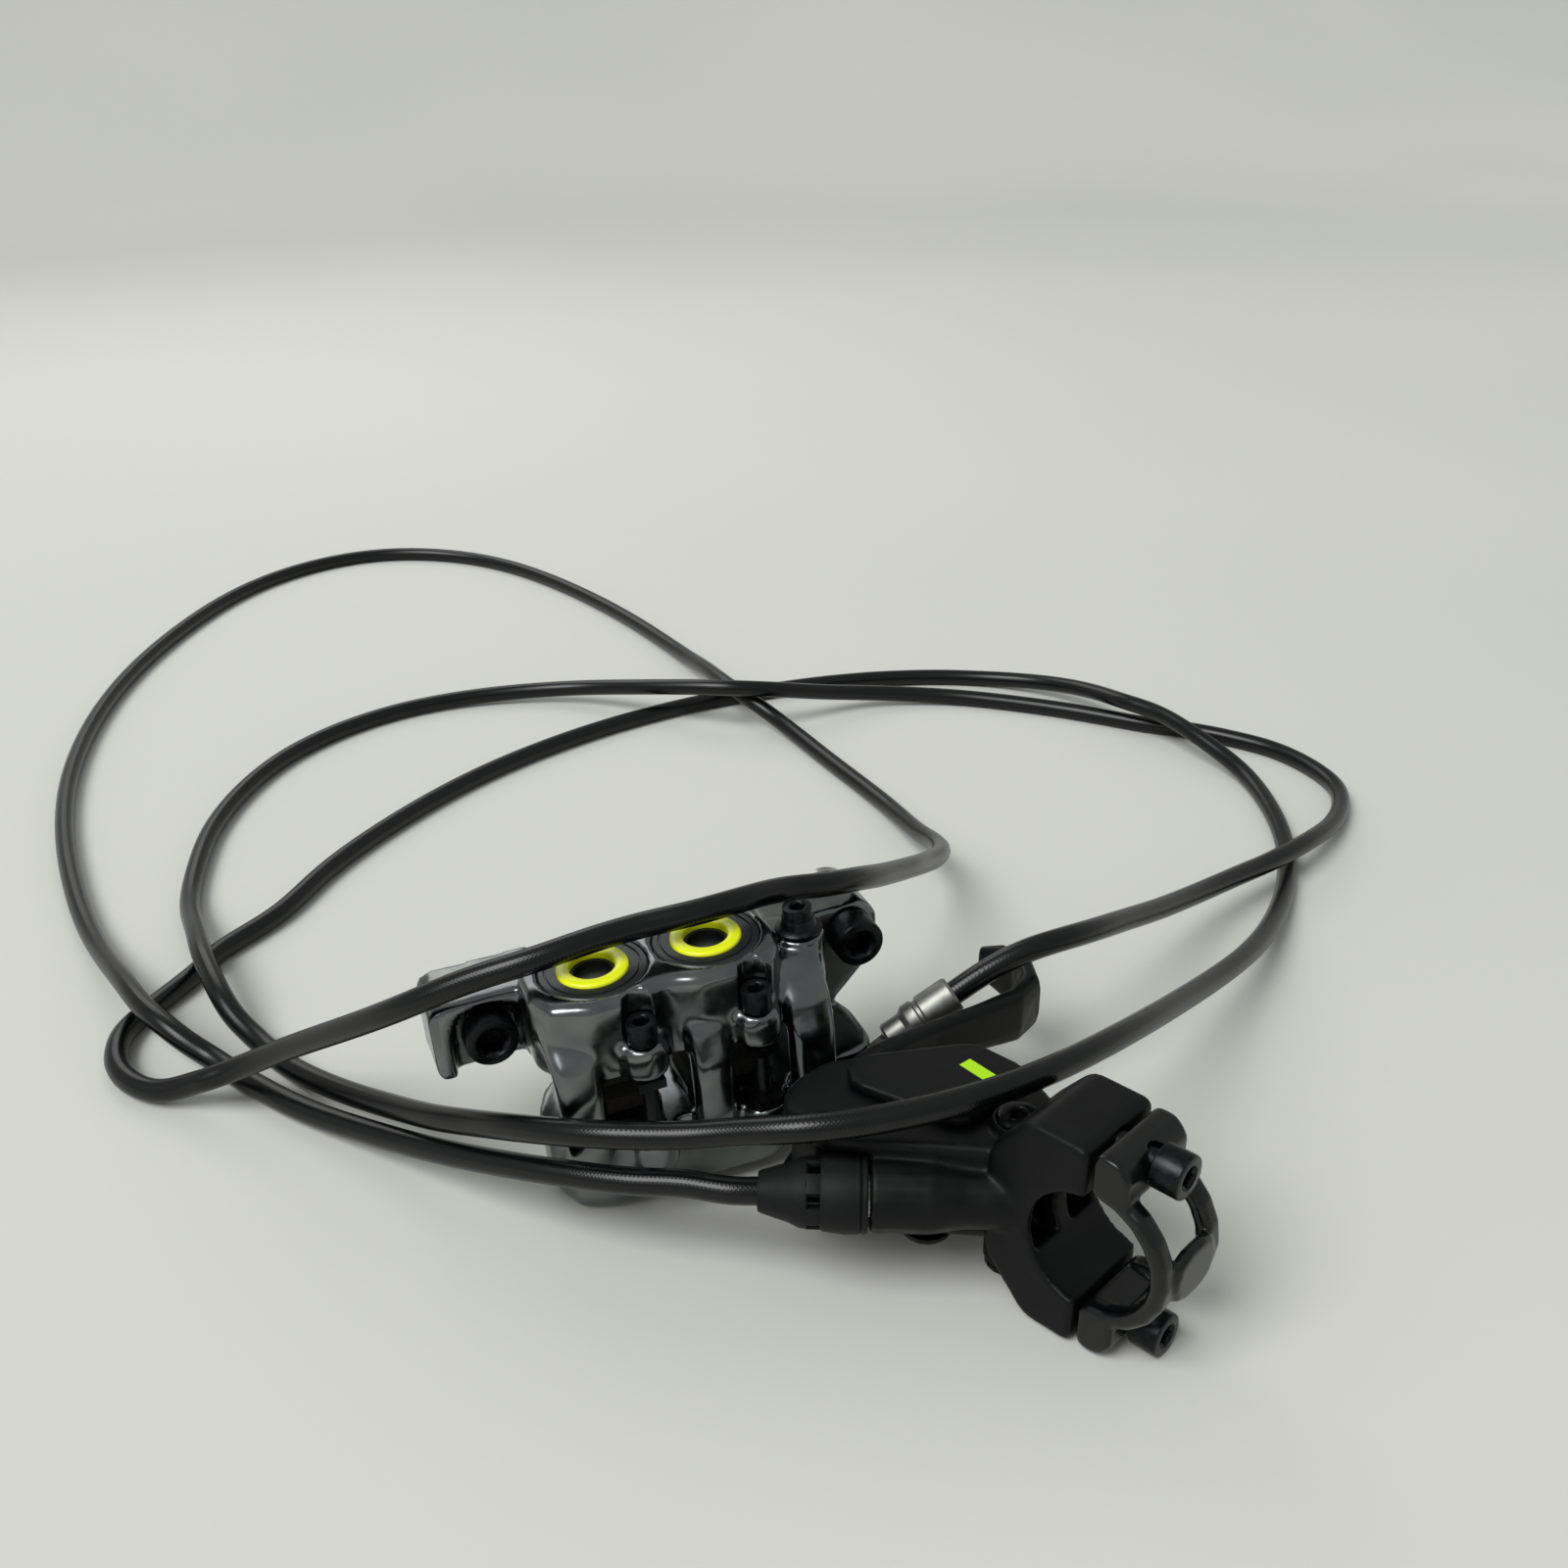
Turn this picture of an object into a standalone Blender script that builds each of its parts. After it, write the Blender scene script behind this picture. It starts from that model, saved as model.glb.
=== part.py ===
# Hydraulic disc brake for a bicycle: lever with master cylinder, hose and four-piston caliper.
# The caliper lies with its bore caps up, the lever with its reservoir cover up.
import math

import bmesh
import bpy
import numpy as np
from mathutils import Matrix, Vector

for old in list(bpy.data.objects):
    bpy.data.objects.remove(old, do_unlink=True)

# Driving dimensions, in metres.
RUNNING_GAP = 0.0003
SMOOTH_ANGLE = math.radians(35)
BORE_SIDES = 16
CAP_SIDES = 20
SMALL_SIDES = 10

# Places of the two assemblies.
ORIGIN_X = -0.01355
ORIGIN_Y = 0.05123
CALIPER_LEAN = math.radians(4.0)
CALIPER_HEIGHT = 0.025403
LEVER_X = 0.0507
LEVER_Y = -0.0910
LEVER_HEIGHT = 0.020794
LEVER_TURN = math.radians(24.0)

# Caliper.
BOLT_SPACING = 0.074
BOLT_OFFSET = 0.010
BORE_SPACING = 0.022
BORE_SHIFT = -0.0065
BORE_DEPTH_Y = -0.021
PISTON_RADIUS = 0.0085
HOUSING_RADIUS = 0.0128
CAP_RADIUS = 0.0103
CAP_THICKNESS = 0.0035
RING_OUTER = 0.0068
RING_INNER = 0.00425
HALF_WIDTH = 0.0235
SLOT_HALF = 0.0072
BRIDGE_FRONT = -0.0370
EAR_DEPTH = 0.014
EAR_HEIGHT = 0.0165
RIGHT_EAR_RISE = 0.0060
EAR_LENGTH = 0.0105
PIN_Y = -0.0345
PIN_SHIFT = 0.0045
PIN_RADIUS = 0.0015
PIN_HEAD_RADIUS = 0.0028
LUG_TOP = HALF_WIDTH - 0.0095
ROTOR_GAP = 0.0016
LINING_THICKNESS = 0.0034
PLATE_THICKNESS = 0.0019
PISTON_CHAMBER = 0.00195
SEAL_GROOVE_Z = 0.0122
SEAL_GROOVE_DEPTH = 0.0012
BOND_GAP = 0.00005

# Lever and master cylinder, in a frame at the centre of the handlebar.
BAR_RADIUS = 0.0111
CLAMP_WIDTH = 0.0200
CLAMP_BOLT_HALF_SPACING = 0.0168
ARC_SPACING = 0.0140
ARC_THICKNESS = 0.0033
ARC_WIDTH = 0.0042
PIVOT_X = -0.0170
PIVOT_Y = 0.0500
BODY_TOP = 0.0098
BODY_BOTTOM = -0.0105
BLADE_HALF_HEIGHT = 0.0052
CHEEK_FACE = 0.0057
BORE_DIRECTION = Vector((0.403, -0.915, 0.0)).normalized()
PUSH_POINT = Vector((-0.0060, 0.0548, 0.0))
MASTER_RADIUS = 0.0050
BARREL_ROOT = Vector((-0.0035, 0.0136, 0.0))
BARREL_DIRECTION = Vector((-0.665, 0.747, 0.0)).normalized()
BARREL_LENGTH = 0.0290
BARREL_RADIUS = 0.0066
BORE_RADIUS_NUT = 0.0041
SLEEVE_LENGTH = 0.0190

# Hose.
HOSE_RADIUS = 0.0025
HOSE_BORE = HOSE_RADIUS + 0.0004
HOSE_START = 0.0239
HOSE_DEPTH = 0.0057
HOSE_LIFT = 0.00005


def finish(name, colour, roughness, metallic):
    """A plain surface finish."""
    surface = bpy.data.materials.new(name)
    surface.use_nodes = True
    shader = surface.node_tree.nodes["Principled BSDF"]
    shader.inputs["Base Color"].default_value = (*colour, 1.0)
    shader.inputs["Roughness"].default_value = roughness
    shader.inputs["Metallic"].default_value = metallic
    return surface


POLISHED = finish("polished_alloy", (0.16, 0.17, 0.18), 0.12, 1.0)
BLACK_ALLOY = finish("black_anodised_alloy", (0.035, 0.036, 0.038), 0.35, 0.9)
MOULDING = finish("moulded_black", (0.022, 0.023, 0.024), 0.5, 0.0)
BLACK_STEEL = finish("black_steel", (0.02, 0.02, 0.02), 0.3, 0.8)
BRIGHT_STEEL = finish("bright_steel", (0.6, 0.6, 0.58), 0.28, 1.0)
RUBBER = finish("rubber", (0.018, 0.018, 0.02), 0.7, 0.0)
YELLOW = finish("yellow_anodised", (0.85, 0.9, 0.01), 0.4, 0.2)
BRASS = finish("brass", (0.7, 0.5, 0.2), 0.3, 1.0)
FRICTION = finish("pad_lining", (0.06, 0.05, 0.045), 0.9, 0.1)
CERAMIC = finish("phenolic", (0.3, 0.28, 0.25), 0.6, 0.0)
HOSE_BLACK = finish("hose_cover", (0.015, 0.016, 0.018), 0.4, 0.0)


def frame(name, place, turn=(0.0, 0.0, 0.0), parent=None):
    """An empty that carries one assembly or one moving piece."""
    carrier = bpy.data.objects.new(name, None)
    carrier.location = place
    carrier.rotation_euler = turn
    carrier.parent = parent
    bpy.context.collection.objects.link(carrier)
    return carrier


def solid_from(bm, name="step"):
    """A loose object that holds a finished mesh."""
    bmesh.ops.remove_doubles(bm, verts=bm.verts, dist=1e-7)
    bmesh.ops.recalc_face_normals(bm, faces=bm.faces)
    mesh = bpy.data.meshes.new(name)
    bm.to_mesh(mesh)
    bm.free()
    body = bpy.data.objects.new(name, mesh)
    bpy.context.collection.objects.link(body)
    return body


def rounded(corners, steps=2):
    """A closed outline whose corners (x, y, radius) are arcs."""
    outline = []
    count = len(corners)
    for i, (x, y, radius) in enumerate(corners):
        corner = Vector((x, y))
        if radius <= 0.0:
            outline.append(corner)
            continue
        before = (Vector(corners[i - 1][:2]) - corner).normalized()
        after = (Vector(corners[(i + 1) % count][:2]) - corner).normalized()
        half = before.angle(after) / 2
        reach = radius / math.tan(half)
        centre = corner + (before + after).normalized() * (radius / math.sin(half))
        start = corner + before * reach - centre
        end = corner + after * reach - centre
        sweep = start.angle_signed(end)
        for k in range(steps + 1):
            turned_point = start.copy()
            turned_point.rotate(Matrix.Rotation(-sweep * k / steps, 2))
            outline.append(centre + turned_point)
    return outline


PLANES = {
    "XY": Matrix.Identity(3),
    "XZ": Matrix(((1, 0, 0), (0, 0, -1), (0, 1, 0))),
    "YZ": Matrix(((0, 0, 1), (1, 0, 0), (0, 1, 0))),
}


def prism(outline, low, high, plane="XY", top_bevel=0.0, bottom_bevel=0.0, steps=2):
    """An outline given in one plane, drawn out from low to high along its normal."""
    bm = bmesh.new()
    face = bm.faces.new([bm.verts.new((x, y, low)) for x, y in outline])
    drawn = bmesh.ops.extrude_face_region(bm, geom=[face])
    upper = [item for item in drawn["geom"] if isinstance(item, bmesh.types.BMVert)]
    bmesh.ops.translate(bm, verts=upper, vec=(0, 0, high - low))
    for height, width in ((high, top_bevel), (low, bottom_bevel)):
        if width:
            rim = [e for e in bm.edges if all(abs(v.co.z - height) < 1e-7 for v in e.verts)]
            bmesh.ops.bevel(bm, geom=rim, offset=width, segments=steps, profile=0.5,
                            affect="EDGES", material=-1)
    turn = PLANES[plane]
    if plane == "XZ":
        # The normal of this plane is -Y, so depths are given along +Y and mirrored here.
        for vert in bm.verts:
            vert.co.z = -vert.co.z
    bmesh.ops.transform(bm, matrix=turn.to_4x4(), verts=bm.verts)
    return solid_from(bm)


def turned(profile, base=(0, 0, 0), axis=(0, 0, 1), sides=16, closed=False):
    """A profile of (radius, height) spun about an axis that starts at base."""
    bm = bmesh.new()
    verts = [bm.verts.new((radius, 0, height)) for radius, height in profile]
    pairs = list(zip(verts, verts[1:]))
    if closed:
        pairs.append((verts[-1], verts[0]))
    edges = [bm.edges.new(pair) for pair in pairs]
    bmesh.ops.spin(bm, geom=verts + edges, cent=(0, 0, 0), axis=(0, 0, 1),
                   angle=2 * math.pi, steps=sides, use_merge=True)
    bmesh.ops.remove_doubles(bm, verts=bm.verts, dist=1e-7)
    turn = Vector((0, 0, 1)).rotation_difference(Vector(axis)).to_matrix().to_4x4()
    bmesh.ops.transform(bm, matrix=Matrix.Translation(base) @ turn, verts=bm.verts)
    return solid_from(bm)


def rod(radius, low, high, base=(0, 0, 0), axis=(0, 0, 1), sides=16, chamfer=0.0):
    """A plain round bar, with an optional chamfer at both ends."""
    if chamfer:
        profile = [(0, low), (radius - chamfer, low), (radius, low + chamfer),
                   (radius, high - chamfer), (radius - chamfer, high), (0, high)]
    else:
        profile = [(0, low), (radius, low), (radius, high), (0, high)]
    return turned(profile, base, axis, sides)


def tube(outer, inner, low, high, base=(0, 0, 0), axis=(0, 0, 1), sides=16):
    """A plain ring or sleeve."""
    profile = [(inner, low), (outer, low), (outer, high), (inner, high)]
    return turned(profile, base, axis, sides, closed=True)


def volume_of(mesh):
    """The volume of a mesh, or None if it isn't closed."""
    bm = bmesh.new()
    bm.from_mesh(mesh)
    closed = all(len(edge.link_faces) == 2 for edge in bm.edges)
    volume = bm.calc_volume(signed=True)
    bm.free()
    return volume if closed else None


def sound(result, body_volume, tool_volume, operation):
    """Tells whether a Boolean result is closed and has a volume that the two solids allow."""
    volume = volume_of(result)
    slack = 1e-12
    if volume is None:
        return False
    if operation == "UNION":
        return max(body_volume, tool_volume) - slack < volume < body_volume + tool_volume + slack
    return body_volume - tool_volume - slack < volume < body_volume + slack


def combine(body, tools, operation):
    """Joins tools to a body or cuts them from it, one after the other."""
    for tool in tools:
        body_volume, tool_volume = volume_of(body.data), volume_of(tool.data)
        step = body.modifiers.new("step", "BOOLEAN")
        step.operation = operation
        step.object = tool
        for solver in ("EXACT", "MANIFOLD"):
            step.solver = solver
            graph = bpy.context.evaluated_depsgraph_get()
            result = bpy.data.meshes.new_from_object(body.evaluated_get(graph))
            if sound(result, body_volume, tool_volume, operation):
                break
        body.modifiers.clear()
        body.data = result
        bpy.data.objects.remove(tool, do_unlink=True)
    return body


def join(body, *tools):
    return combine(body, tools, "UNION")


def cut(body, *tools):
    return combine(body, tools, "DIFFERENCE")


def piece(name, body, surface, carrier, pivot=None):
    """Names a finished solid, gives it its surface and hangs it in its assembly."""
    body.name = name
    body.data.name = name
    body.data.materials.clear()
    body.data.materials.append(surface)
    body.parent = carrier
    if pivot is not None:
        body.data.transform(Matrix.Translation(-Vector(pivot)))
        body.location = pivot
    body.data.shade_smooth()
    body.data.set_sharp_from_angle(angle=SMOOTH_ANGLE)
    return body


def regular(radius, count, turn=0.0, centre=(0.0, 0.0)):
    """A regular polygon; with many sides it is a circle."""
    return [Vector((centre[0] + radius * math.cos(turn + 2 * math.pi * k / count),
                    centre[1] + radius * math.sin(turn + 2 * math.pi * k / count)))
            for k in range(count)]


def socket_screw(head_radius, head_height, shank_radius, shank_length, base, axis,
                 socket_radius, lobes=6, tip=0.0):
    """A cap screw: base is the seat under the head, axis points out through the head."""
    chamfer = head_height * 0.12
    profile = [(0, -shank_length), (shank_radius - tip, -shank_length),
               (shank_radius, -shank_length + tip), (shank_radius, 0), (head_radius, 0),
               (head_radius, head_height - chamfer), (head_radius - chamfer, head_height),
               (0, head_height)]
    if tip == 0.0:
        profile.pop(1)
    body = turned(profile, sides=SMALL_SIDES)
    recess = prism(regular(socket_radius, lobes), head_height * 0.45, head_height * 1.5)
    cut(body, recess)
    turn = Vector((0, 0, 1)).rotation_difference(Vector(axis)).to_matrix().to_4x4()
    body.data.transform(Matrix.Translation(base) @ turn)
    return body


def sweep(path, sections):
    """A skin through closed sections: each is a list of (sideways, upward) offsets.

    The path is a list of (place, forward) with +Z as the common upward direction.
    """
    bm = bmesh.new()
    rings = []
    for (place, forward), section in zip(path, sections):
        forward = Vector(forward).normalized()
        side = forward.cross(Vector((0, 0, 1))).normalized()
        ring = [bm.verts.new(Vector(place) + side * s + Vector((0, 0, u))) for s, u in section]
        rings.append([bm.edges.new((a, b)) for a, b in zip(ring, ring[1:] + ring[:1])])
    for first, second in zip(rings, rings[1:]):
        bmesh.ops.bridge_loops(bm, edges=first + second)
    for ring in (rings[0], rings[-1]):
        bmesh.ops.contextual_create(bm, geom=ring)
    return solid_from(bm)


def oval(half_width, half_height, power=2.6, count=14):
    """A rounded section, squarer than an ellipse as power rises."""
    points = []
    for k in range(count):
        angle = 2 * math.pi * (k + 0.5) / count
        c, s = math.cos(angle), math.sin(angle)
        points.append((half_width * math.copysign(abs(c) ** (2 / power), c),
                       half_height * math.copysign(abs(s) ** (2 / power), s)))
    return points


set_frame = frame("brake_set", (ORIGIN_X, ORIGIN_Y, 0.0))
caliper = frame("caliper_frame", (0, 0, CALIPER_HEIGHT), (0, -CALIPER_LEAN, 0), set_frame)
lever = frame("lever_frame", (LEVER_X, LEVER_Y, LEVER_HEIGHT), (0, 0, LEVER_TURN), set_frame)


# Caliper: one forging with the bores, bridges, ears and bosses on it.
BLEED_X = 0.0226
BORES_X = (BORE_SHIFT - BORE_SPACING / 2, BORE_SHIFT + BORE_SPACING / 2)
BOLTS_X = (-BOLT_SPACING / 2, BOLT_SPACING / 2)
COLUMNS = ((BORES_X[0] - 0.0080, 0.0044), (BORE_SHIFT + 0.0060, 0.0040), (BLEED_X - 0.0031, 0.0046))
COLUMN_HALF_DEPTH = 0.0030
PINS_X = [x + PIN_SHIFT for x in BORES_X]
TOOTH_FRONT = -0.0303
BODY_LEFT = BORES_X[0] - HOUSING_RADIUS - 0.0008
BODY_RIGHT = COLUMNS[2][0] + COLUMNS[2][1] + 0.0020
BLEED_Y = -0.0225
BLEED_BOSS_TOP = HALF_WIDTH - 0.0035
BANJO_X = 0.0290
BANJO_Y = -0.0195
BANJO_SEAT = -0.0135
BANJO_RADIUS = 0.0058
BANJO_THICKNESS = 0.0062
SEAL_THICKNESS = 0.0010
M6_RADIUS = 0.0030
M6_HEAD_RADIUS = 0.0050
M6_HEAD_HEIGHT = 0.0060
SLOT_TRAVEL = 0.0016
HEAD_SEATS = (-0.0105, -0.0125)
WASHER_THICKNESS = 0.0016
WASHER_RADIUS = 0.0070


def housing_outline(grow=0.0):
    """Plan of one caliper half: a lobe round each bore and a shoulder at the right end."""
    r = HOUSING_RADIUS + grow
    left, right = BORES_X
    return rounded([
        (BODY_LEFT - grow, BORE_DEPTH_Y + r, r * 0.72), (BODY_LEFT - grow, BORE_DEPTH_Y - r, r * 0.72),
        (BORE_SHIFT - 0.005, BORE_DEPTH_Y - r, 0.005), (BORE_SHIFT, BORE_DEPTH_Y - r + 0.0024, 0.003),
        (BORE_SHIFT + 0.005, BORE_DEPTH_Y - r, 0.005), (right + r * 0.8, BORE_DEPTH_Y - r, 0.007),
        (right + r, BORE_DEPTH_Y - r * 0.35, 0.004),
        (right + r, BORE_DEPTH_Y + r, 0.007)])


def shoulder(top):
    """The low right end of one half, which carries the bleed screw or the hose union."""
    end = BODY_RIGHT if top else BANJO_X + BANJO_RADIUS + 0.0008
    outline = rounded([(BORES_X[1], BORE_DEPTH_Y - 0.008, 0.002), (end, BORE_DEPTH_Y - 0.008, 0.005),
                       (end, BORE_DEPTH_Y + 0.012, 0.005), (BORES_X[1], BORE_DEPTH_Y + 0.012, 0.002)])
    if top:
        return prism(outline, SLOT_HALF, BLEED_BOSS_TOP - 0.0035, top_bevel=0.0018)
    return prism(outline, BANJO_SEAT, -SLOT_HALF, bottom_bevel=0.0010, steps=1)


def column(centre, half_width):
    """One bridge over the rotor: a rounded strut bent round from the top half to the bottom."""
    reach = BRIDGE_FRONT + COLUMN_HALF_DEPTH
    inner = BORE_DEPTH_Y - 0.004
    rise = HALF_WIDTH - 0.0075
    stations = [(inner, rise, 0.0), (reach + 0.006, rise - 0.0005, 25), (reach + 0.0018, rise - 0.0048, 62),
                (reach, rise - 0.0105, 85), (reach, 0.0105 - rise, 95),
                (reach + 0.0018, 0.0048 - rise, 118), (reach + 0.006, 0.0005 - rise, 155), (inner, -rise, 180)]
    bm = bmesh.new()
    rings = []
    for k, (y, z, angle) in enumerate(stations):
        a = math.radians(angle)
        outward = Vector((0, -math.sin(a), math.cos(a)))
        swell = 1.0 + 0.28 * (abs(k - 3.5) / 3.5) ** 2
        ring = [bm.verts.new(Vector((centre + s * swell, y, z)) + outward * u)
                for s, u in oval(half_width, COLUMN_HALF_DEPTH, 2.8, 10)]
        rings.append([bm.edges.new((p, q)) for p, q in zip(ring, ring[1:] + ring[:1])])
    for first, second in zip(rings, rings[1:]):
        bmesh.ops.bridge_loops(bm, edges=first + second)
    for ring in (rings[0], rings[-1]):
        bmesh.ops.contextual_create(bm, geom=ring)
    return solid_from(bm)


def pin_lug(pin_x, top):
    """The rounded ear that a pad pin passes through, on the top or the bottom half."""
    outline = rounded([(pin_x - 0.0046, BORE_DEPTH_Y, 0.001), (pin_x - 0.0046, PIN_Y - 0.0038, 0.0038),
                       (pin_x + 0.0046, PIN_Y - 0.0038, 0.0038), (pin_x + 0.0046, BORE_DEPTH_Y, 0.001)])
    if top:
        return prism(outline, SLOT_HALF + 0.0002, LUG_TOP, top_bevel=0.0015)
    return prism(outline, -LUG_TOP, -SLOT_HALF - 0.0002, bottom_bevel=0.0015)


def left_ear():
    """The boxy ear at the left end, with a recess round the bolt head."""
    low, high = BOLT_OFFSET - EAR_HEIGHT / 2, BOLT_OFFSET + EAR_HEIGHT / 2
    outline = rounded([(BOLTS_X[0] - EAR_LENGTH, low, 0.0015), (BODY_LEFT + 0.006, low, 0.001),
                       (BODY_LEFT + 0.006, high, 0.001), (BOLTS_X[0] - EAR_LENGTH, high, 0.0030)])
    ear = prism(outline, -EAR_DEPTH, 0.0, plane="XZ", bottom_bevel=0.0010)
    recess = rounded([(BOLTS_X[0] - 0.0068, low - 0.002, 0.002), (BOLTS_X[0] + 0.0066, low - 0.002, 0.002),
                      (BOLTS_X[0] + 0.0066, BOLT_OFFSET + 0.0064, 0.0055),
                      (BOLTS_X[0] - 0.0068, BOLT_OFFSET + 0.0064, 0.0055)])
    return cut(ear, prism(recess, -EAR_DEPTH - 0.002, HEAD_SEATS[0], plane="XZ"))


def right_ear():
    """The web at the right end, which tapers down to the bottom half."""
    high = BOLT_OFFSET + RIGHT_EAR_RISE
    outline = rounded([(BODY_RIGHT - 0.008, -0.0130, 0.001), (BODY_RIGHT + 0.0005, -0.0130, 0.002),
                       (BOLTS_X[1] + 0.0062, BOLT_OFFSET - 0.0070, 0.004),
                       (BOLTS_X[1] + 0.0070, high - 0.004, 0.002), (BOLTS_X[1] + 0.0030, high, 0.001),
                       (BODY_RIGHT - 0.008, high, 0.001)])
    return prism(outline, HEAD_SEATS[1], 0.0, plane="XZ", bottom_bevel=0.0008)


def ear_link():
    """The low wall along the mount side that ties both ears to the top half."""
    outline = rounded([(BODY_LEFT + 0.002, -0.0008, 0.003), (BODY_LEFT + 0.002, BORE_DEPTH_Y, 0.003),
                       (BODY_RIGHT - 0.002, BORE_DEPTH_Y, 0.003), (BODY_RIGHT - 0.002, -0.0008, 0.003)])
    wall = prism(outline, SLOT_HALF, 0.0150, top_bevel=0.0015)
    relief = rounded([(BORES_X[0] - 0.008, 0.002, 0.001), (BORES_X[0] - 0.006, -0.0075, 0.003),
                      (BORES_X[1] + 0.006, -0.0075, 0.003), (BORES_X[1] + 0.008, 0.002, 0.001)])
    return cut(wall, prism(relief, SLOT_HALF - 0.002, HALF_WIDTH + 0.0065))


def caliper_body():
    body = prism(housing_outline(), SLOT_HALF, HALF_WIDTH, top_bevel=0.0016)
    join(body, ear_link(), shoulder(True))
    lower = prism(housing_outline(), -HALF_WIDTH, -SLOT_HALF, bottom_bevel=0.0030)
    join(lower, shoulder(False))
    for pin_x in PINS_X:
        join(body, pin_lug(pin_x, True))
        join(lower, pin_lug(pin_x, False))
    for centre, half_width in COLUMNS:
        join(body, column(centre, half_width))
    join(body, lower, left_ear(), right_ear())
    join(body, rod(0.0048, SLOT_HALF + 0.001, BLEED_BOSS_TOP, (BLEED_X, BLEED_Y, 0)))
    for bore_x in BORES_X:
        centre = (bore_x, BORE_DEPTH_Y, 0)
        bore_end = HALF_WIDTH - CAP_THICKNESS - RUNNING_GAP
        cut(body, rod(PISTON_RADIUS + 0.00006, -bore_end, bore_end + 0.001, centre, sides=BORE_SIDES))
        cut(body, rod(CAP_RADIUS + 0.0001, bore_end, HALF_WIDTH + 0.002, centre, sides=CAP_SIDES))
        for side in (-1, 1):
            groove = tube(PISTON_RADIUS + SEAL_GROOVE_DEPTH, PISTON_RADIUS - 0.0005, SEAL_GROOVE_Z - 0.0012,
                          SEAL_GROOVE_Z + 0.0012, centre, (0, 0, side), sides=BORE_SIDES)
            cut(body, groove)
    for pin_x in PINS_X:
        pin_place = (pin_x, PIN_Y, 0)
        cut(body, rod(PIN_HEAD_RADIUS + 0.0004, LUG_TOP, HALF_WIDTH + 0.002, pin_place, sides=SMALL_SIDES))
        cut(body, rod(PIN_RADIUS + 0.0001, -LUG_TOP - 0.002, LUG_TOP + 0.002, pin_place, sides=SMALL_SIDES))
    for x, seat in zip(BOLTS_X, HEAD_SEATS):
        r = M6_RADIUS + 0.0003
        low, high, corner = BOLT_OFFSET - r - SLOT_TRAVEL, BOLT_OFFSET + r + SLOT_TRAVEL, r * 0.98
        slot = rounded([(x - r, low, corner), (x + r, low, corner), (x + r, high, corner),
                        (x - r, high, corner)], steps=5)
        cut(body, prism(slot, -HALF_WIDTH - 0.0065, 0.002, plane="XZ"))
    cut(body, rod(0.0025, BLEED_BOSS_TOP - 0.0095, BLEED_BOSS_TOP + 0.001, (BLEED_X, BLEED_Y, 0), sides=16))
    cut(body, rod(0.0030, BANJO_SEAT - 0.001, -0.0085, (BANJO_X, BANJO_Y, 0), sides=16))
    return body


def pad_outline(bore_x, grow=0.0):
    """The outline of a pad: a block over the piston with a tab for the pin at the front."""
    half = 0.0084 + grow
    return rounded([(bore_x - half, BORE_DEPTH_Y + 0.0085 + grow, 0.0025),
                    (bore_x - half, BORE_DEPTH_Y - 0.0075 - grow, 0.0015),
                    (bore_x + half, BORE_DEPTH_Y - 0.0075 - grow, 0.0015),
                    (bore_x + half, BORE_DEPTH_Y + 0.0085 + grow, 0.0025)])


def pad_plate(bore_x, side):
    """The steel carrier of one pad, with its toothed front edge and its pin eye."""
    low = ROTOR_GAP + LINING_THICKNESS + BOND_GAP
    high = low + PLATE_THICKNESS
    levels = (low, high) if side > 0 else (-high, -low)
    plate = prism(pad_outline(bore_x), *levels)
    pin_x = bore_x + PIN_SHIFT
    tabs = [(bore_x - 0.0055, 0.0018, TOOTH_FRONT), (bore_x - 0.0008, 0.0018, TOOTH_FRONT),
            (pin_x, 0.0026, PIN_Y - 0.0030)]
    for x, half, reach in tabs:
        tab = [(x - half, BORE_DEPTH_Y), (x - half, reach), (x + half, reach), (x + half, BORE_DEPTH_Y)]
        join(plate, prism(tab, *levels))
    eye = rod(PIN_RADIUS + 0.0001, levels[0] - 0.001, levels[1] + 0.001, (pin_x, PIN_Y, 0), sides=10)
    return cut(plate, eye)


def pad_lining(bore_x, side):
    levels = (ROTOR_GAP, ROTOR_GAP + LINING_THICKNESS)
    if side < 0:
        levels = (-levels[1], -levels[0])
    return prism(pad_outline(bore_x, -0.0006), *levels)


def piston(bore_x, side):
    """A cup piston, open towards its pad."""
    front = ROTOR_GAP + LINING_THICKNESS + BOND_GAP + PLATE_THICKNESS + RUNNING_GAP
    end = HALF_WIDTH - CAP_THICKNESS - RUNNING_GAP - PISTON_CHAMBER
    profile = [(0, front + 0.0045), (PISTON_RADIUS - 0.0025, front + 0.0045),
               (PISTON_RADIUS - 0.0025, front), (PISTON_RADIUS - 0.0003, front),
               (PISTON_RADIUS, front + 0.0003), (PISTON_RADIUS, end), (0, end)]
    return turned(profile, (bore_x, BORE_DEPTH_Y, 0), (0, 0, side), sides=BORE_SIDES)


def piston_seal(bore_x, side):
    return tube(PISTON_RADIUS + SEAL_GROOVE_DEPTH - RUNNING_GAP, PISTON_RADIUS + 0.00004, SEAL_GROOVE_Z - 0.0010,
                SEAL_GROOVE_Z + 0.0010, (bore_x, BORE_DEPTH_Y, 0), (0, 0, side), sides=BORE_SIDES)


def bore_cap(bore_x):
    """The screwed cap of one bore, with a seat for the coloured ring and a well in the middle."""
    top = HALF_WIDTH - 0.0002
    low = HALF_WIDTH - CAP_THICKNESS
    profile = [(0, low), (CAP_RADIUS, low), (CAP_RADIUS, top - 0.0003), (CAP_RADIUS - 0.0003, top),
               (RING_OUTER + 0.0001, top), (RING_OUTER + 0.0001, top - 0.0010),
               (RING_INNER - 0.0005, top - 0.0010), (RING_INNER - 0.0005, top - 0.0024), (0, top - 0.0024)]
    return turned(profile, (bore_x, BORE_DEPTH_Y, 0), sides=CAP_SIDES)


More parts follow.
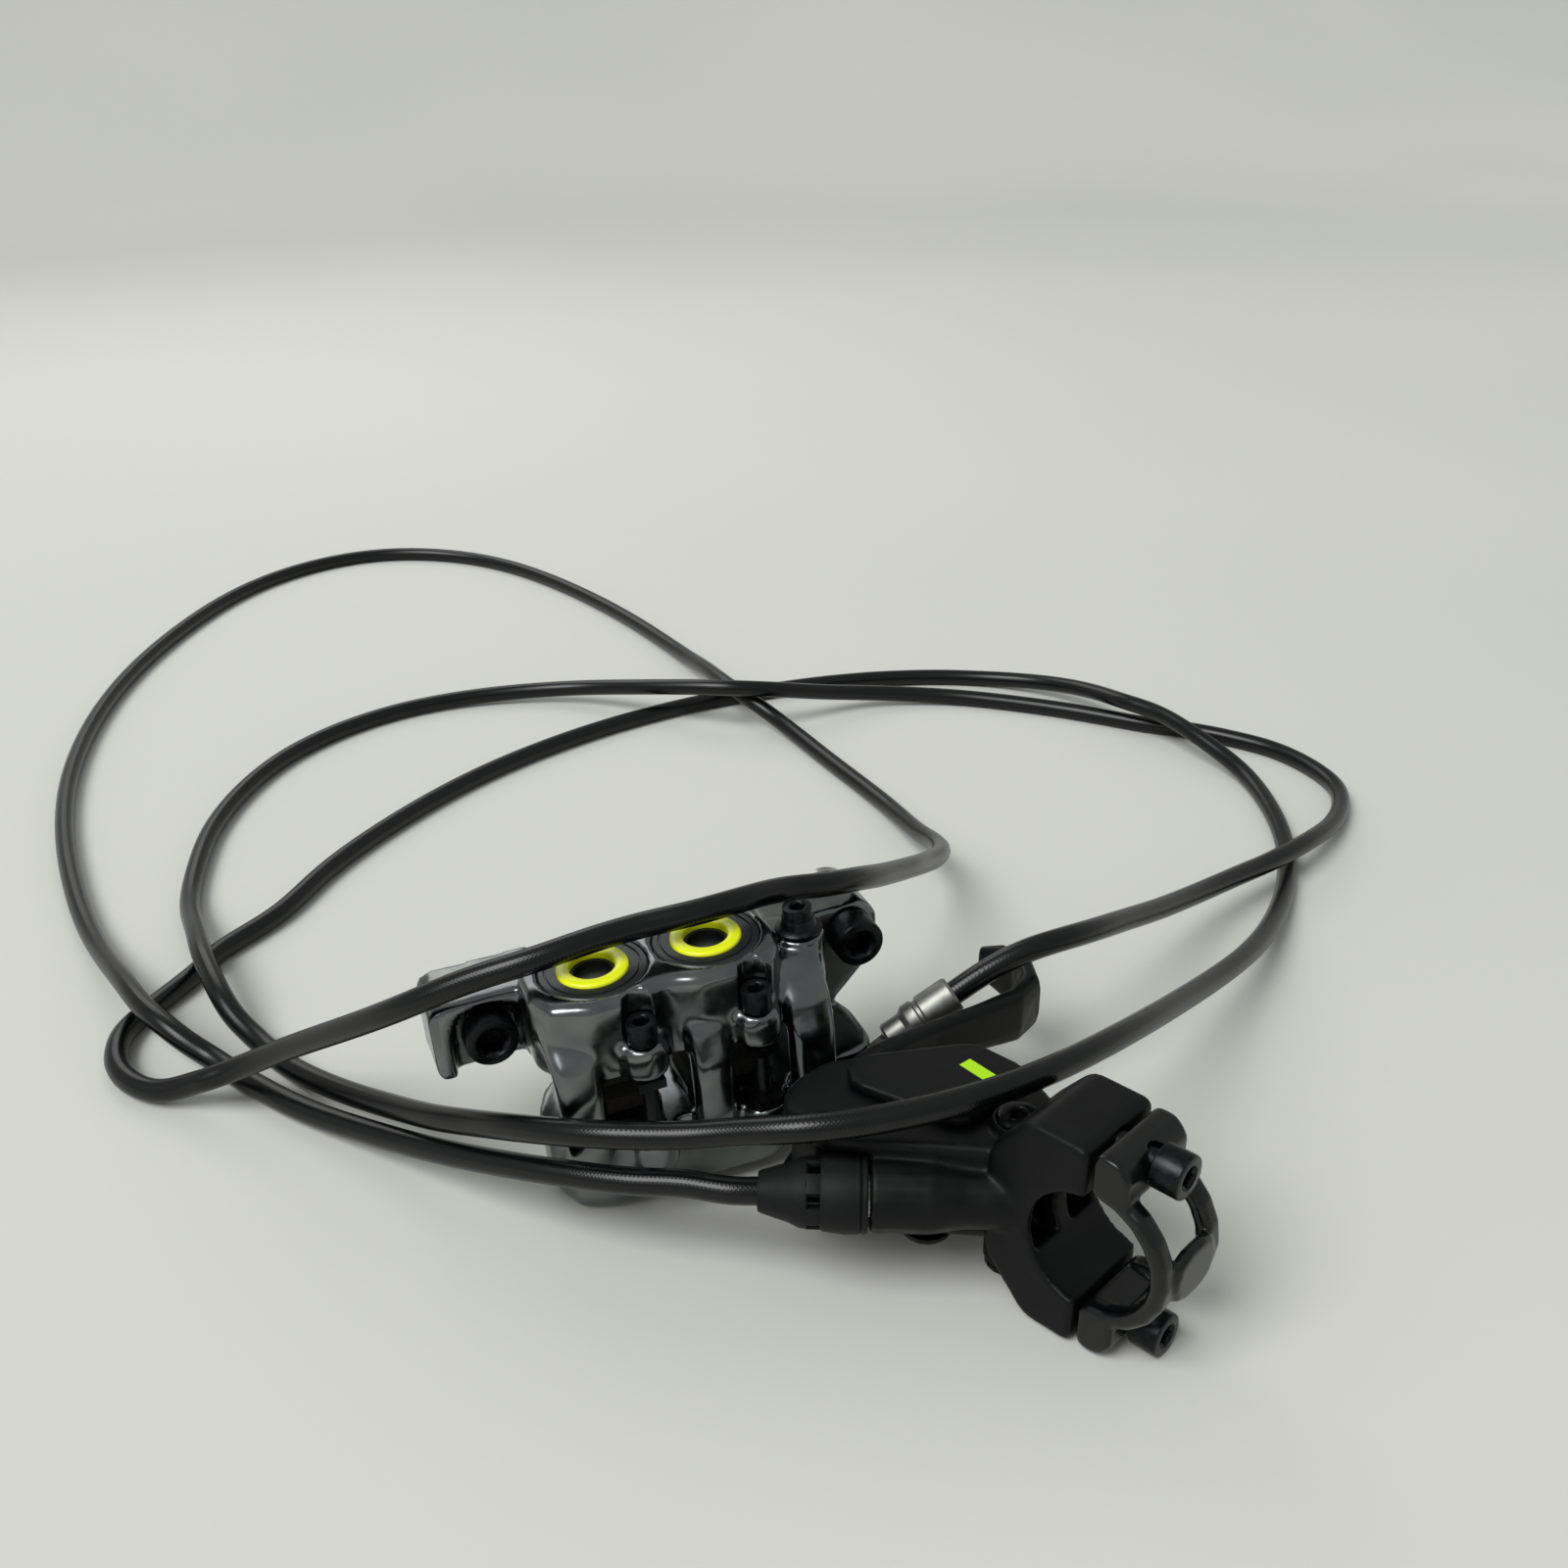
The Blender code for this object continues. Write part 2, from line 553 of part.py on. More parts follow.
def cap_ring(bore_x):
    top = HALF_WIDTH + 0.0004
    low = HALF_WIDTH - 0.0002 - 0.0010 + 0.0001
    soft = 0.0004
    profile = [(RING_INNER, low), (RING_OUTER, low), (RING_OUTER, top - soft), (RING_OUTER - soft, top),
               (RING_INNER + soft, top), (RING_INNER, top - soft)]
    return turned(profile, (bore_x, BORE_DEPTH_Y, 0), sides=CAP_SIDES, closed=True)


def pad_pin(pin_x):
    return socket_screw(PIN_HEAD_RADIUS, 0.0044, PIN_RADIUS, 2 * LUG_TOP + 0.0012,
                        (pin_x, PIN_Y, LUG_TOP + RUNNING_GAP), (0, 0, 1), 0.0015)


def caliper_bleed_screw():
    """A tapered screw with a hexagon socket, on top of its boss."""
    seat = BLEED_BOSS_TOP + RUNNING_GAP
    tip = BLEED_BOSS_TOP - 0.0088
    profile = [(0, tip), (0.0018, tip), (0.0023, tip + 0.0008), (0.0023, seat), (0.0046, seat),
               (0.0046, seat + 0.0008), (0.0029, seat + 0.0052), (0.0025, seat + 0.0055), (0, seat + 0.0055)]
    body = turned(profile, (BLEED_X, BLEED_Y, 0), sides=16)
    return cut(body, prism(regular(0.0015, 6, 0, (BLEED_X, BLEED_Y)), seat + 0.0030, seat + 0.0070))


def mount_bolt(end):
    base = (BOLTS_X[end], HEAD_SEATS[end] - RUNNING_GAP, BOLT_OFFSET)
    return socket_screw(M6_HEAD_RADIUS, M6_HEAD_HEIGHT, M6_RADIUS, 0.0160, base, (0, -1, 0), 0.0029,
                        tip=0.0006)


def mount_washer(end):
    return tube(WASHER_RADIUS, M6_RADIUS + 0.0003, RUNNING_GAP, RUNNING_GAP + WASHER_THICKNESS,
                (BOLTS_X[end], 0, BOLT_OFFSET), (0, 1, 0), sides=BORE_SIDES)


# Hose union under the right end: bolt, two sealing washers and an eye with its bent pipe.
SEAL_STACK = SEAL_THICKNESS + 2 * RUNNING_GAP
UNION_TOP = BANJO_SEAT - SEAL_STACK
UNION_BOTTOM = UNION_TOP - BANJO_THICKNESS
UNION_MIDDLE = (UNION_TOP + UNION_BOTTOM) / 2
PIPE_RADIUS = 0.0016
FERRULE_START = Vector((0.0400, -0.0225, -0.0115))
FERRULE_AXIS = Vector((1.0, -0.10, 0.50)).normalized()
FERRULE_LENGTH = 0.0165
FERRULE_RADIUS = 0.0039


def banjo_seal(top):
    return tube(BANJO_RADIUS - 0.0008, 0.0031, top - SEAL_THICKNESS, top, (BANJO_X, BANJO_Y, 0), sides=16)


def banjo_bolt():
    seat = UNION_BOTTOM - SEAL_STACK
    body = turned([(0, 0), (0.0048, 0), (0.0048, 0.0038), (0.0042, 0.0042), (0, 0.0042)], sides=6)
    join(body, rod(0.0028, -0.0130, 0.0005, sides=16))
    cut(body, prism(regular(0.0020, 6), 0.0024, 0.0060))
    turn = Matrix.Translation((BANJO_X, BANJO_Y, seat)) @ Matrix.Rotation(math.pi, 4, "X")
    body.data.transform(turn)
    return body


def hose_union():
    """The banjo eye with the steel pipe that bends up to the crimped ferrule."""
    middle = Vector((BANJO_X, BANJO_Y, UNION_MIDDLE))
    eye = tube(BANJO_RADIUS, 0.0031, UNION_BOTTOM, UNION_TOP, (BANJO_X, BANJO_Y, 0), sides=16)
    ends = [middle + Vector((0.0044, -0.0005, 0)), middle + Vector((0.0088, -0.0008, 0.0002)),
            FERRULE_START - FERRULE_AXIS * 0.0050, FERRULE_START - FERRULE_AXIS * RUNNING_GAP]
    route = []
    for k in range(9):
        t = k / 8
        a, b, c, d = ((1 - t) ** 3, 3 * t * (1 - t) ** 2, 3 * t * t * (1 - t), t ** 3)
        route.append(ends[0] * a + ends[1] * b + ends[2] * c + ends[3] * d)
    pipe = pipe_along(route, PIPE_RADIUS, 8)
    return join(eye, pipe)


def pipe_along(route, radius, sides):
    """A round bar along a short route."""
    bm = bmesh.new()
    rings = []
    for k, place in enumerate(route):
        forward = (route[min(k + 1, len(route) - 1)] - route[max(k - 1, 0)]).normalized()
        side = forward.cross(Vector((0, 0, 1))).normalized()
        rise = side.cross(forward)
        ring = [bm.verts.new(place + side * x + rise * y) for x, y in regular(radius, sides)]
        rings.append([bm.edges.new((p, q)) for p, q in zip(ring, ring[1:] + ring[:1])])
    for first, second in zip(rings, rings[1:]):
        bmesh.ops.bridge_loops(bm, edges=first + second)
    for ring in (rings[0], rings[-1]):
        bmesh.ops.contextual_create(bm, geom=ring)
    return solid_from(bm)


def hose_ferrule():
    """The crimped sleeve on the hose end, with a grooved collar towards the pipe."""
    wide = 0.0052
    profile = [(0, 0), (0.0026, 0), (0.0030, 0.0005), (0.0030, wide - 0.0014), (0.0024, wide - 0.0012),
               (0.0024, wide - 0.0004), (0.0034, wide), (FERRULE_RADIUS, wide + 0.0008),
               (FERRULE_RADIUS, FERRULE_LENGTH - 0.0006), (FERRULE_RADIUS - 0.0004, FERRULE_LENGTH),
               (HOSE_BORE, FERRULE_LENGTH), (HOSE_BORE, FERRULE_LENGTH - 0.0060),
               (0, FERRULE_LENGTH - 0.0060)]
    return turned(profile, FERRULE_START, FERRULE_AXIS, sides=16)


def build_caliper():
    ends = ("left", "right")
    piece("caliper_body", caliper_body(), POLISHED, caliper)
    for name, bore_x in zip(ends, BORES_X):
        piece("bore_cap_" + name, bore_cap(bore_x), BLACK_ALLOY, caliper)
        piece("cap_ring_" + name, cap_ring(bore_x), YELLOW, caliper)
        piece("pad_pin_" + name, pad_pin(bore_x + PIN_SHIFT), BLACK_STEEL, caliper)
        for half, side in (("upper", 1), ("lower", -1)):
            tag = half + "_" + name
            place = (bore_x, BORE_DEPTH_Y, side * SLOT_HALF)
            piece("piston_" + tag, piston(bore_x, side), CERAMIC, caliper, place)
            piece("piston_seal_" + tag, piston_seal(bore_x, side), RUBBER, caliper)
            piece("pad_plate_" + tag, pad_plate(bore_x, side), BLACK_STEEL, caliper, place)
            piece("pad_lining_" + tag, pad_lining(bore_x, side), FRICTION, caliper, place)
    piece("caliper_bleed_screw", caliper_bleed_screw(), BLACK_STEEL, caliper)
    for end, name in enumerate(ends):
        piece("mount_bolt_" + name, mount_bolt(end), BLACK_STEEL, caliper)
        piece("mount_washer_" + name, mount_washer(end), BRIGHT_STEEL, caliper)
    piece("banjo_bolt", banjo_bolt(), BRIGHT_STEEL, caliper)
    piece("banjo_seal_upper", banjo_seal(BANJO_SEAT - RUNNING_GAP), BRASS, caliper)
    piece("banjo_seal_lower", banjo_seal(UNION_BOTTOM - RUNNING_GAP), BRASS, caliper)
    piece("hose_union", hose_union(), BRIGHT_STEEL, caliper)
    piece("hose_ferrule", hose_ferrule(), BRIGHT_STEEL, caliper)


build_caliper()


# Lever: master cylinder body moulded in one piece with its half of the handlebar clamp.
CLAMP_TOP = 0.0203
SPLIT_FACE = 0.0012
BOSS_PLACE = Vector((-0.0010, 0.0205, 0.0))
BOSS_RADIUS = 0.0046
BOSS_TOP = 0.0122
BOSS_BOTTOM = -0.0188
COVER_THICKNESS = 0.0020
DIAPHRAGM_THICKNESS = 0.0011
CAVITY_FLOOR = 0.0066
PIVOT_PIN_RADIUS = 0.0024
BUSH_RADIUS = 0.0034
PLUG_PLACE = Vector((-0.0120, 0.0310, 0.0))
BORE_MOUTH = 0.0094
PISTON_START = 0.0113
PISTON_END = 0.0225
PUSH_ROD_RADIUS = 0.0012
BORE_END = 0.0335
PIVOT = Vector((PIVOT_X, PIVOT_Y, 0.0))
NUT_BORE_START = 0.0185
SLEEVE_RADIUS = 0.0068


def body_plan(grow=0.0):
    """Plan of the reservoir housing, round at the pivot and skewed towards the clamp."""
    return rounded([(-0.0252 - grow, 0.0415, 0.0070), (-0.0252 - grow, 0.0583 + grow, 0.0078),
                    (-0.0092, 0.0583 + grow, 0.0078), (0.0132 + grow, 0.0420 + grow, 0.0060),
                    (0.0140 + grow, 0.0290, 0.0050), (0.0085 + grow, 0.0165 - grow, 0.0030),
                    (-0.0060 - grow, 0.0165 - grow, 0.0040)], steps=3)


def blade_room():
    """The slot between the two cheeks in which the blade swings, square to the bore at its mouth."""
    mouth = PUSH_POINT + BORE_DIRECTION * BORE_MOUTH
    across = BORE_DIRECTION.cross(Vector((0, 0, -1))) * (MASTER_RADIUS + RUNNING_GAP)
    far, near = mouth + across, mouth - across
    return prism(rounded([(-0.0300, 0.0700, 0.001), (-0.0300, 0.0500, 0.001), (-0.0255, 0.0415, 0.002),
                          (-0.0100, 0.0415, 0.0015), (near.x, near.y, 0.0004), (far.x, far.y, 0.0004),
                          (0.0062, 0.0448, 0.0015), (0.0180, 0.0360, 0.002), (0.0300, 0.0360, 0.001),
                          (0.0300, 0.0700, 0.001)]),
                 -CHEEK_FACE, CHEEK_FACE)


def clamp_half():
    """The front half of the bar clamp, drawn along the bar."""
    profile = rounded([(SPLIT_FACE, CLAMP_TOP, 0.0015), (0.0130, CLAMP_TOP, 0.0035), (0.0200, 0.0120, 0.004),
                       (0.0200, -0.0110, 0.004), (0.0110, -CLAMP_TOP, 0.0040), (SPLIT_FACE, -CLAMP_TOP, 0.0015)])
    block = prism(profile, -CLAMP_WIDTH / 2, CLAMP_WIDTH / 2, plane="YZ", top_bevel=0.0008, bottom_bevel=0.0008)
    return block


def barrel():
    """The outlet barrel, thinner where it leaves the clamp."""
    profile = [(0, 0), (0.0054, 0), (0.0056, 0.0130), (0.0062, 0.0165), (BARREL_RADIUS, 0.0185),
               (BARREL_RADIUS, BARREL_LENGTH - 0.0004), (BARREL_RADIUS - 0.0004, BARREL_LENGTH), (0, BARREL_LENGTH)]
    return turned(profile, BARREL_ROOT, BARREL_DIRECTION, sides=16)


def master_body():
    body = prism(body_plan(), BODY_BOTTOM, BODY_TOP, top_bevel=0.0012, bottom_bevel=0.0020)
    cut(body, blade_room())
    sleeve_end = BARREL_LENGTH + SLEEVE_LENGTH + 0.005
    cut(body, rod(SLEEVE_RADIUS + 0.0005, BARREL_LENGTH, sleeve_end, BARREL_ROOT, BARREL_DIRECTION, sides=24))
    join(body, clamp_half(), barrel())
    join(body, rod(BOSS_RADIUS, BOSS_BOTTOM, BOSS_TOP, BOSS_PLACE, sides=16))
    cut(body, rod(BAR_RADIUS + 0.0002, -0.03, 0.03, (0, 0, 0), (1, 0, 0), sides=24))
    for x in (-0.0052, 0.0052):
        pocket = rounded([(0.0135, 0.0075, 0.0015), (0.0172, 0.0040, 0.0015), (0.0172, -0.0040, 0.0015),
                          (0.0135, -0.0075, 0.0015), (0.0060, -0.0040, 0.001), (0.0060, 0.0040, 0.001)])
        cut(body, prism(pocket, x - 0.0033, x + 0.0033, plane="YZ"))
    for z in (-CLAMP_BOLT_HALF_SPACING, CLAMP_BOLT_HALF_SPACING):
        cut(body, rod(0.0024, -0.001, 0.0118, (0, 0, z), (0, 1, 0), sides=12))
    cut(body, rod(MASTER_RADIUS, 0.001, BORE_END, PUSH_POINT, BORE_DIRECTION, sides=BORE_SIDES))
    cavity = rounded([(-0.0115, 0.0480, 0.0040), (-0.0035, 0.0480, 0.0040), (0.0100, 0.0385, 0.0040),
                      (0.0105, 0.0285, 0.0040), (-0.0060, 0.0285, 0.0040)])
    cut(body, prism(cavity, CAVITY_FLOOR, BODY_TOP + 0.002))
    cut(body, rod(PIVOT_PIN_RADIUS + 0.0001, BODY_BOTTOM - 0.001, BODY_TOP - 0.0022, PIVOT, sides=14))
    nut_bore = BARREL_ROOT + BARREL_DIRECTION * NUT_BORE_START
    cut(body, rod(BORE_RADIUS_NUT, 0, 0.03, nut_bore, BARREL_DIRECTION, sides=16))
    cut(body, rod(0.0024, 0.004, BOSS_TOP + 0.001, BOSS_PLACE, sides=14))
    cut(body, rod(0.0040, BOSS_TOP - 0.0012, BOSS_TOP + 0.001, BOSS_PLACE, sides=16))
    cut(body, rod(0.0024, BOSS_BOTTOM - 0.001, -0.0150, BOSS_PLACE, sides=14))
    cut(body, rod(0.0024, BODY_BOTTOM - 0.001, -0.0070, PLUG_PLACE, sides=14))
    return body


def reservoir_cover():
    outline = rounded([(-0.0140, 0.0520, 0.0050), (-0.0060, 0.0525, 0.0050), (0.0118, 0.0400, 0.0050),
                       (0.0122, 0.0262, 0.0040), (-0.0085, 0.0262, 0.0050)], steps=3)
    low = BODY_TOP + RUNNING_GAP
    return prism(outline, low, low + COVER_THICKNESS, top_bevel=0.0008)


def diaphragm():
    outline = rounded([(-0.0110, 0.0476, 0.0036), (-0.0036, 0.0476, 0.0036), (0.0096, 0.0383, 0.0036),
                       (0.0101, 0.0289, 0.0036), (-0.0056, 0.0289, 0.0036)])
    return prism(outline, BODY_TOP - DIAPHRAGM_THICKNESS, BODY_TOP)


def reservoir_bleed_screw():
    body = socket_screw(0.0037, 0.0016, 0.0022, 0.0070, BOSS_PLACE + Vector((0, 0, BOSS_TOP - 0.0009)),
                        (0, 0, 1), 0.0019)
    return body


def flat_plug(place, seat, head_radius):
    """A pressed plug with a low round head, put in from below."""
    profile = [(0, -0.0028), (0.0022, -0.0028), (0.0022, 0), (head_radius, 0), (head_radius, 0.0008),
               (head_radius - 0.0006, 0.0014), (0, 0.0014)]
    return turned(profile, place + Vector((0, 0, seat - RUNNING_GAP)), (0, 0, -1), sides=16)


def clamp_ear(top):
    """One end of the clamp: the boss that the bolt passes through, spread to both arcs."""
    sign = 1 if top else -1
    inner, outer = 0.0120 * sign, CLAMP_TOP * sign
    half = ARC_SPACING / 2 + ARC_WIDTH / 2
    profile = rounded([(-0.0062, inner, 0.0010), (0.0006, inner, 0.0006), (0.0006, outer, 0.0015),
                       (-0.0040, outer, 0.0030), (-0.0062, outer - 0.0030 * sign, 0.0015)])
    ear = prism(profile, -half, half, plane="YZ", top_bevel=0.0005, bottom_bevel=0.0005)
    return ear


def handlebar_clamp():
    outer = BAR_RADIUS + 0.0002 + ARC_THICKNESS
    inner = BAR_RADIUS + 0.0002
    first, last = math.radians(92), math.radians(268)
    steps = 10
    angles = [first + (last - first) * k / steps for k in range(steps + 1)]
    outline = [(outer * math.cos(a), outer * math.sin(a)) for a in angles]
    outline += [(inner * math.cos(a), inner * math.sin(a)) for a in reversed(angles)]
    arcs = []
    for x in (-ARC_SPACING / 2, ARC_SPACING / 2):
        arcs.append(prism(outline, x - ARC_WIDTH / 2, x + ARC_WIDTH / 2, plane="YZ",
                          top_bevel=0.0009, bottom_bevel=0.0009, steps=1))
    body = clamp_ear(True)
    join(body, arcs[0], arcs[1], clamp_ear(False))
    half = ARC_SPACING / 2 - 0.0008
    badge = rounded([(-half, -0.0050, 0.0040), (half, -0.0050, 0.0040), (half, 0.0050, 0.0040),
                     (-half, 0.0050, 0.0040)])
    join(body, prism(badge, -outer - 0.0006, -outer + 0.0016, plane="XZ", bottom_bevel=0.0006, steps=1))
    for z in (-CLAMP_BOLT_HALF_SPACING, CLAMP_BOLT_HALF_SPACING):
        cut(body, rod(0.0027, -0.012, 0.003, (0, 0, z), (0, 1, 0), sides=14))
    return body


def clamp_bolt(z):
    return socket_screw(0.0042, 0.0052, 0.0023, 0.0170, (0, -0.0062 - RUNNING_GAP, z), (0, -1, 0), 0.0021)


BLADE_STATIONS = (
    (-0.0130, 0.0528, 0.80, 0.60, 0.0030, 0.0051), (-0.0060, 0.0572, 0.95, 0.30, 0.0030, 0.0051),
    (0.0060, 0.0584, 1.00, -0.10, 0.0025, 0.0047), (0.0190, 0.0558, 1.00, -0.24, 0.0022, 0.0046),
    (0.0300, 0.0522, 1.00, -0.36, 0.0022, 0.0052), (0.0385, 0.0496, 1.00, -0.15, 0.0024, 0.0060),
    (0.0450, 0.0507, 0.92, 0.40, 0.0025, 0.0064), (0.0495, 0.0556, 0.50, 0.86, 0.0023, 0.0064),
    (0.0508, 0.0625, 0.05, 1.00, 0.0020, 0.0056), (0.0500, 0.0672, -0.20, 0.98, 0.0012, 0.0036))


def lever_blade():
    """The one-finger blade: an eye on the pivot, a flat arm and a hooked end."""
    path = [((x, y, 0), (dx, dy, 0)) for x, y, dx, dy, half, tall in BLADE_STATIONS]
    sections = [oval(half, tall, 3.2, 12) for x, y, dx, dy, half, tall in BLADE_STATIONS]
    body = rod(0.0068, -BLADE_HALF_HEIGHT, BLADE_HALF_HEIGHT, PIVOT, sides=16, chamfer=0.0006)
    join(body, sweep(path, sections))
    cut(body, rod(BUSH_RADIUS + 0.0002, -0.01, 0.01, PIVOT, sides=16))
    cut(body, rod(0.0021, -0.0100, 0.0040, PUSH_POINT, BORE_DIRECTION, sides=12),
        rod(0.0029, -0.0100, -0.0042, PUSH_POINT, BORE_DIRECTION, sides=12),
        rod(PUSH_ROD_RADIUS + 0.0023, -0.0002, 0.0060, PUSH_POINT, BORE_DIRECTION, sides=12))
    return body


def reach_screw():
    body = socket_screw(0.0026, 0.0013, 0.0019, 0.0039, (0, 0, 0), (0, 0, 1), 0.0014)
    turn = Vector((0, 0, 1)).rotation_difference(-BORE_DIRECTION).to_matrix().to_4x4()
    body.data.transform(Matrix.Translation(PUSH_POINT - BORE_DIRECTION * 0.0045) @ turn)
    return body


def pivot_bush(side):
    low, high = sorted((side * 0.0003, side * (BLADE_HALF_HEIGHT + 0.0002)))
    return tube(BUSH_RADIUS, PIVOT_PIN_RADIUS + 0.0001, low, high, PIVOT, sides=14)


def pivot_pin():
    return rod(PIVOT_PIN_RADIUS, BODY_BOTTOM + 0.0006, BODY_TOP - 0.0026, PIVOT, sides=14, chamfer=0.0003)


def push_rod():
    r, foot = PUSH_ROD_RADIUS, PISTON_START - RUNNING_GAP
    profile = [(0, 0), (0.0008, 0.0002), (r, 0.0008), (r, foot - 0.0009), (r + 0.0006, foot - 0.0006),
               (r + 0.0006, foot), (0, foot)]
    return turned(profile, PUSH_POINT, BORE_DIRECTION, sides=12)


def master_piston():
    r = MASTER_RADIUS - 0.00006
    profile = [(0, PISTON_START), (r, PISTON_START), (r, PISTON_START + 0.0020), (0.0034, PISTON_START + 0.0020),
               (0.0034, PISTON_START + 0.0042), (r, PISTON_START + 0.0042), (r, PISTON_END - 0.0040),
               (0.0034, PISTON_END - 0.0040), (0.0034, PISTON_END - 0.0018), (r, PISTON_END - 0.0018),
               (r, PISTON_END), (0, PISTON_END)]
    return turned(profile, PUSH_POINT, BORE_DIRECTION, sides=BORE_SIDES)


def piston_cup(start):
    return tube(MASTER_RADIUS - 0.00004, 0.0035, start + 0.0001, start + 0.0021, PUSH_POINT, BORE_DIRECTION,
                sides=BORE_SIDES)


def piston_stop_ring():
    return tube(MASTER_RADIUS - 0.0001, 0.0028, PISTON_START - 0.0016, PISTON_START - 0.0003, PUSH_POINT,
                BORE_DIRECTION, sides=BORE_SIDES)


def return_spring():
    """A light coil spring between the piston and the end of the bore."""
    coils, per_turn = 4, 9
    low, high = PISTON_END + 0.0007, BORE_END - 0.0007
    route = []
    for k in range(coils * per_turn + 1):
        angle = 2 * math.pi * k / per_turn
        height = low + (high - low) * k / (coils * per_turn)
        route.append(Vector((0.0036 * math.cos(angle), 0.0036 * math.sin(angle), height)))
    body = pipe_along(route, 0.00035, 4)
    turn = Vector((0, 0, 1)).rotation_difference(BORE_DIRECTION).to_matrix().to_4x4()
    body.data.transform(Matrix.Translation(PUSH_POINT) @ turn)
    return body


def along_barrel(distance):
    return BARREL_ROOT + BARREL_DIRECTION * distance


def hose_nut():
    """The union nut: thread in the barrel, hexagon outside it."""
    body = tube(0.0039, HOSE_BORE, 0.0240, BARREL_LENGTH + 0.0010, BARREL_ROOT, BARREL_DIRECTION, sides=16)
    hexagon = turned([(HOSE_BORE, BARREL_LENGTH + 0.0003), (0.0046, BARREL_LENGTH + 0.0003),
                      (0.0046, BARREL_LENGTH + 0.0070), (HOSE_BORE, BARREL_LENGTH + 0.0070)],
                     BARREL_ROOT, BARREL_DIRECTION, sides=6, closed=True)
    bore = rod(HOSE_BORE, 0.0200, 0.0500, BARREL_ROOT, BARREL_DIRECTION, sides=16)
    return cut(join(body, hexagon), bore)


def nut_sleeve():
    """The soft cover over the nut: a cone in front, a slotted band, and a plain rear skirt."""
    s = BARREL_LENGTH + RUNNING_GAP
    r = SLEEVE_RADIUS
    profile = [(0.0049, s), (r, s), (r + 0.0001, s + 0.0040), (r - 0.0004, s + 0.0085), (r - 0.0007, s + 0.0115),
               (0.0052, s + 0.0135), (0.0036, s + SLEEVE_LENGTH - 0.0005), (0.0034, s + SLEEVE_LENGTH),
               (HOSE_BORE, s + SLEEVE_LENGTH), (HOSE_BORE, s + 0.0085), (0.0049, s + 0.0080)]
    body = turned(profile, BARREL_ROOT, BARREL_DIRECTION, sides=18, closed=True)
    side = BARREL_DIRECTION.cross(Vector((0, 0, 1)))
    for k in range(6):
        angle = math.pi / 3 * k + math.pi / 6
        out = side * math.cos(angle) + Vector((0, 0, math.sin(angle)))
        window = prism([(-0.0016, -0.0008), (0.0016, -0.0008), (0.0016, 0.0008), (-0.0016, 0.0008)], 0.0044, 0.0090)
        across = out.cross(BARREL_DIRECTION)
        turn = Matrix((across, BARREL_DIRECTION, out)).transposed().to_4x4()
        window.data.transform(Matrix.Translation(along_barrel(s + 0.0100)) @ turn)
        cut(body, window)
    return body


def olive():
    return tube(0.0036, HOSE_BORE, 0.0205, 0.0236, BARREL_ROOT, BARREL_DIRECTION, sides=14)


def hose_insert():
    return tube(0.0030, 0.0009, 0.0188, 0.0202, BARREL_ROOT, BARREL_DIRECTION, sides=14)


def build_lever():
    piece("master_cylinder_body", master_body(), MOULDING, lever)
    piece("reservoir_cover", reservoir_cover(), MOULDING, lever)
    piece("reservoir_diaphragm", diaphragm(), RUBBER, lever)
    piece("reservoir_bleed_screw", reservoir_bleed_screw(), BLACK_STEEL, lever)
    piece("clamp_side_plug", flat_plug(BOSS_PLACE, BOSS_BOTTOM, 0.0042), MOULDING, lever)
    piece("lower_plug", flat_plug(PLUG_PLACE, BODY_BOTTOM, 0.0046), MOULDING, lever)
    piece("handlebar_clamp", handlebar_clamp(), MOULDING, lever)
    piece("clamp_bolt_upper", clamp_bolt(CLAMP_BOLT_HALF_SPACING), BLACK_STEEL, lever)
    piece("clamp_bolt_lower", clamp_bolt(-CLAMP_BOLT_HALF_SPACING), BLACK_STEEL, lever)
    piece("lever_blade", lever_blade(), BLACK_ALLOY, lever, PIVOT)
    piece("reach_adjust_screw", reach_screw(), BLACK_STEEL, lever, PIVOT)
    piece("pivot_bush_upper", pivot_bush(1), CERAMIC, lever, PIVOT)
    piece("pivot_bush_lower", pivot_bush(-1), CERAMIC, lever, PIVOT)
    piece("lever_pivot_pin", pivot_pin(), BRIGHT_STEEL, lever)
    piece("push_rod", push_rod(), BRIGHT_STEEL, lever, PUSH_POINT)
    piece("master_piston", master_piston(), BLACK_ALLOY, lever, PUSH_POINT)
    piece("secondary_cup", piston_cup(PISTON_START + 0.0020), RUBBER, lever, PUSH_POINT)
    piece("primary_cup", piston_cup(PISTON_END - 0.0040), RUBBER, lever, PUSH_POINT)
    piece("piston_stop_ring", piston_stop_ring(), BRIGHT_STEEL, lever)
    piece("return_spring", return_spring(), BRIGHT_STEEL, lever)
    piece("hose_nut", hose_nut(), BRIGHT_STEEL, lever)
    piece("nut_sleeve", nut_sleeve(), RUBBER, lever)
    piece("hose_olive", olive(), BRASS, lever)
    piece("hose_insert", hose_insert(), BRASS, lever)


build_lever()


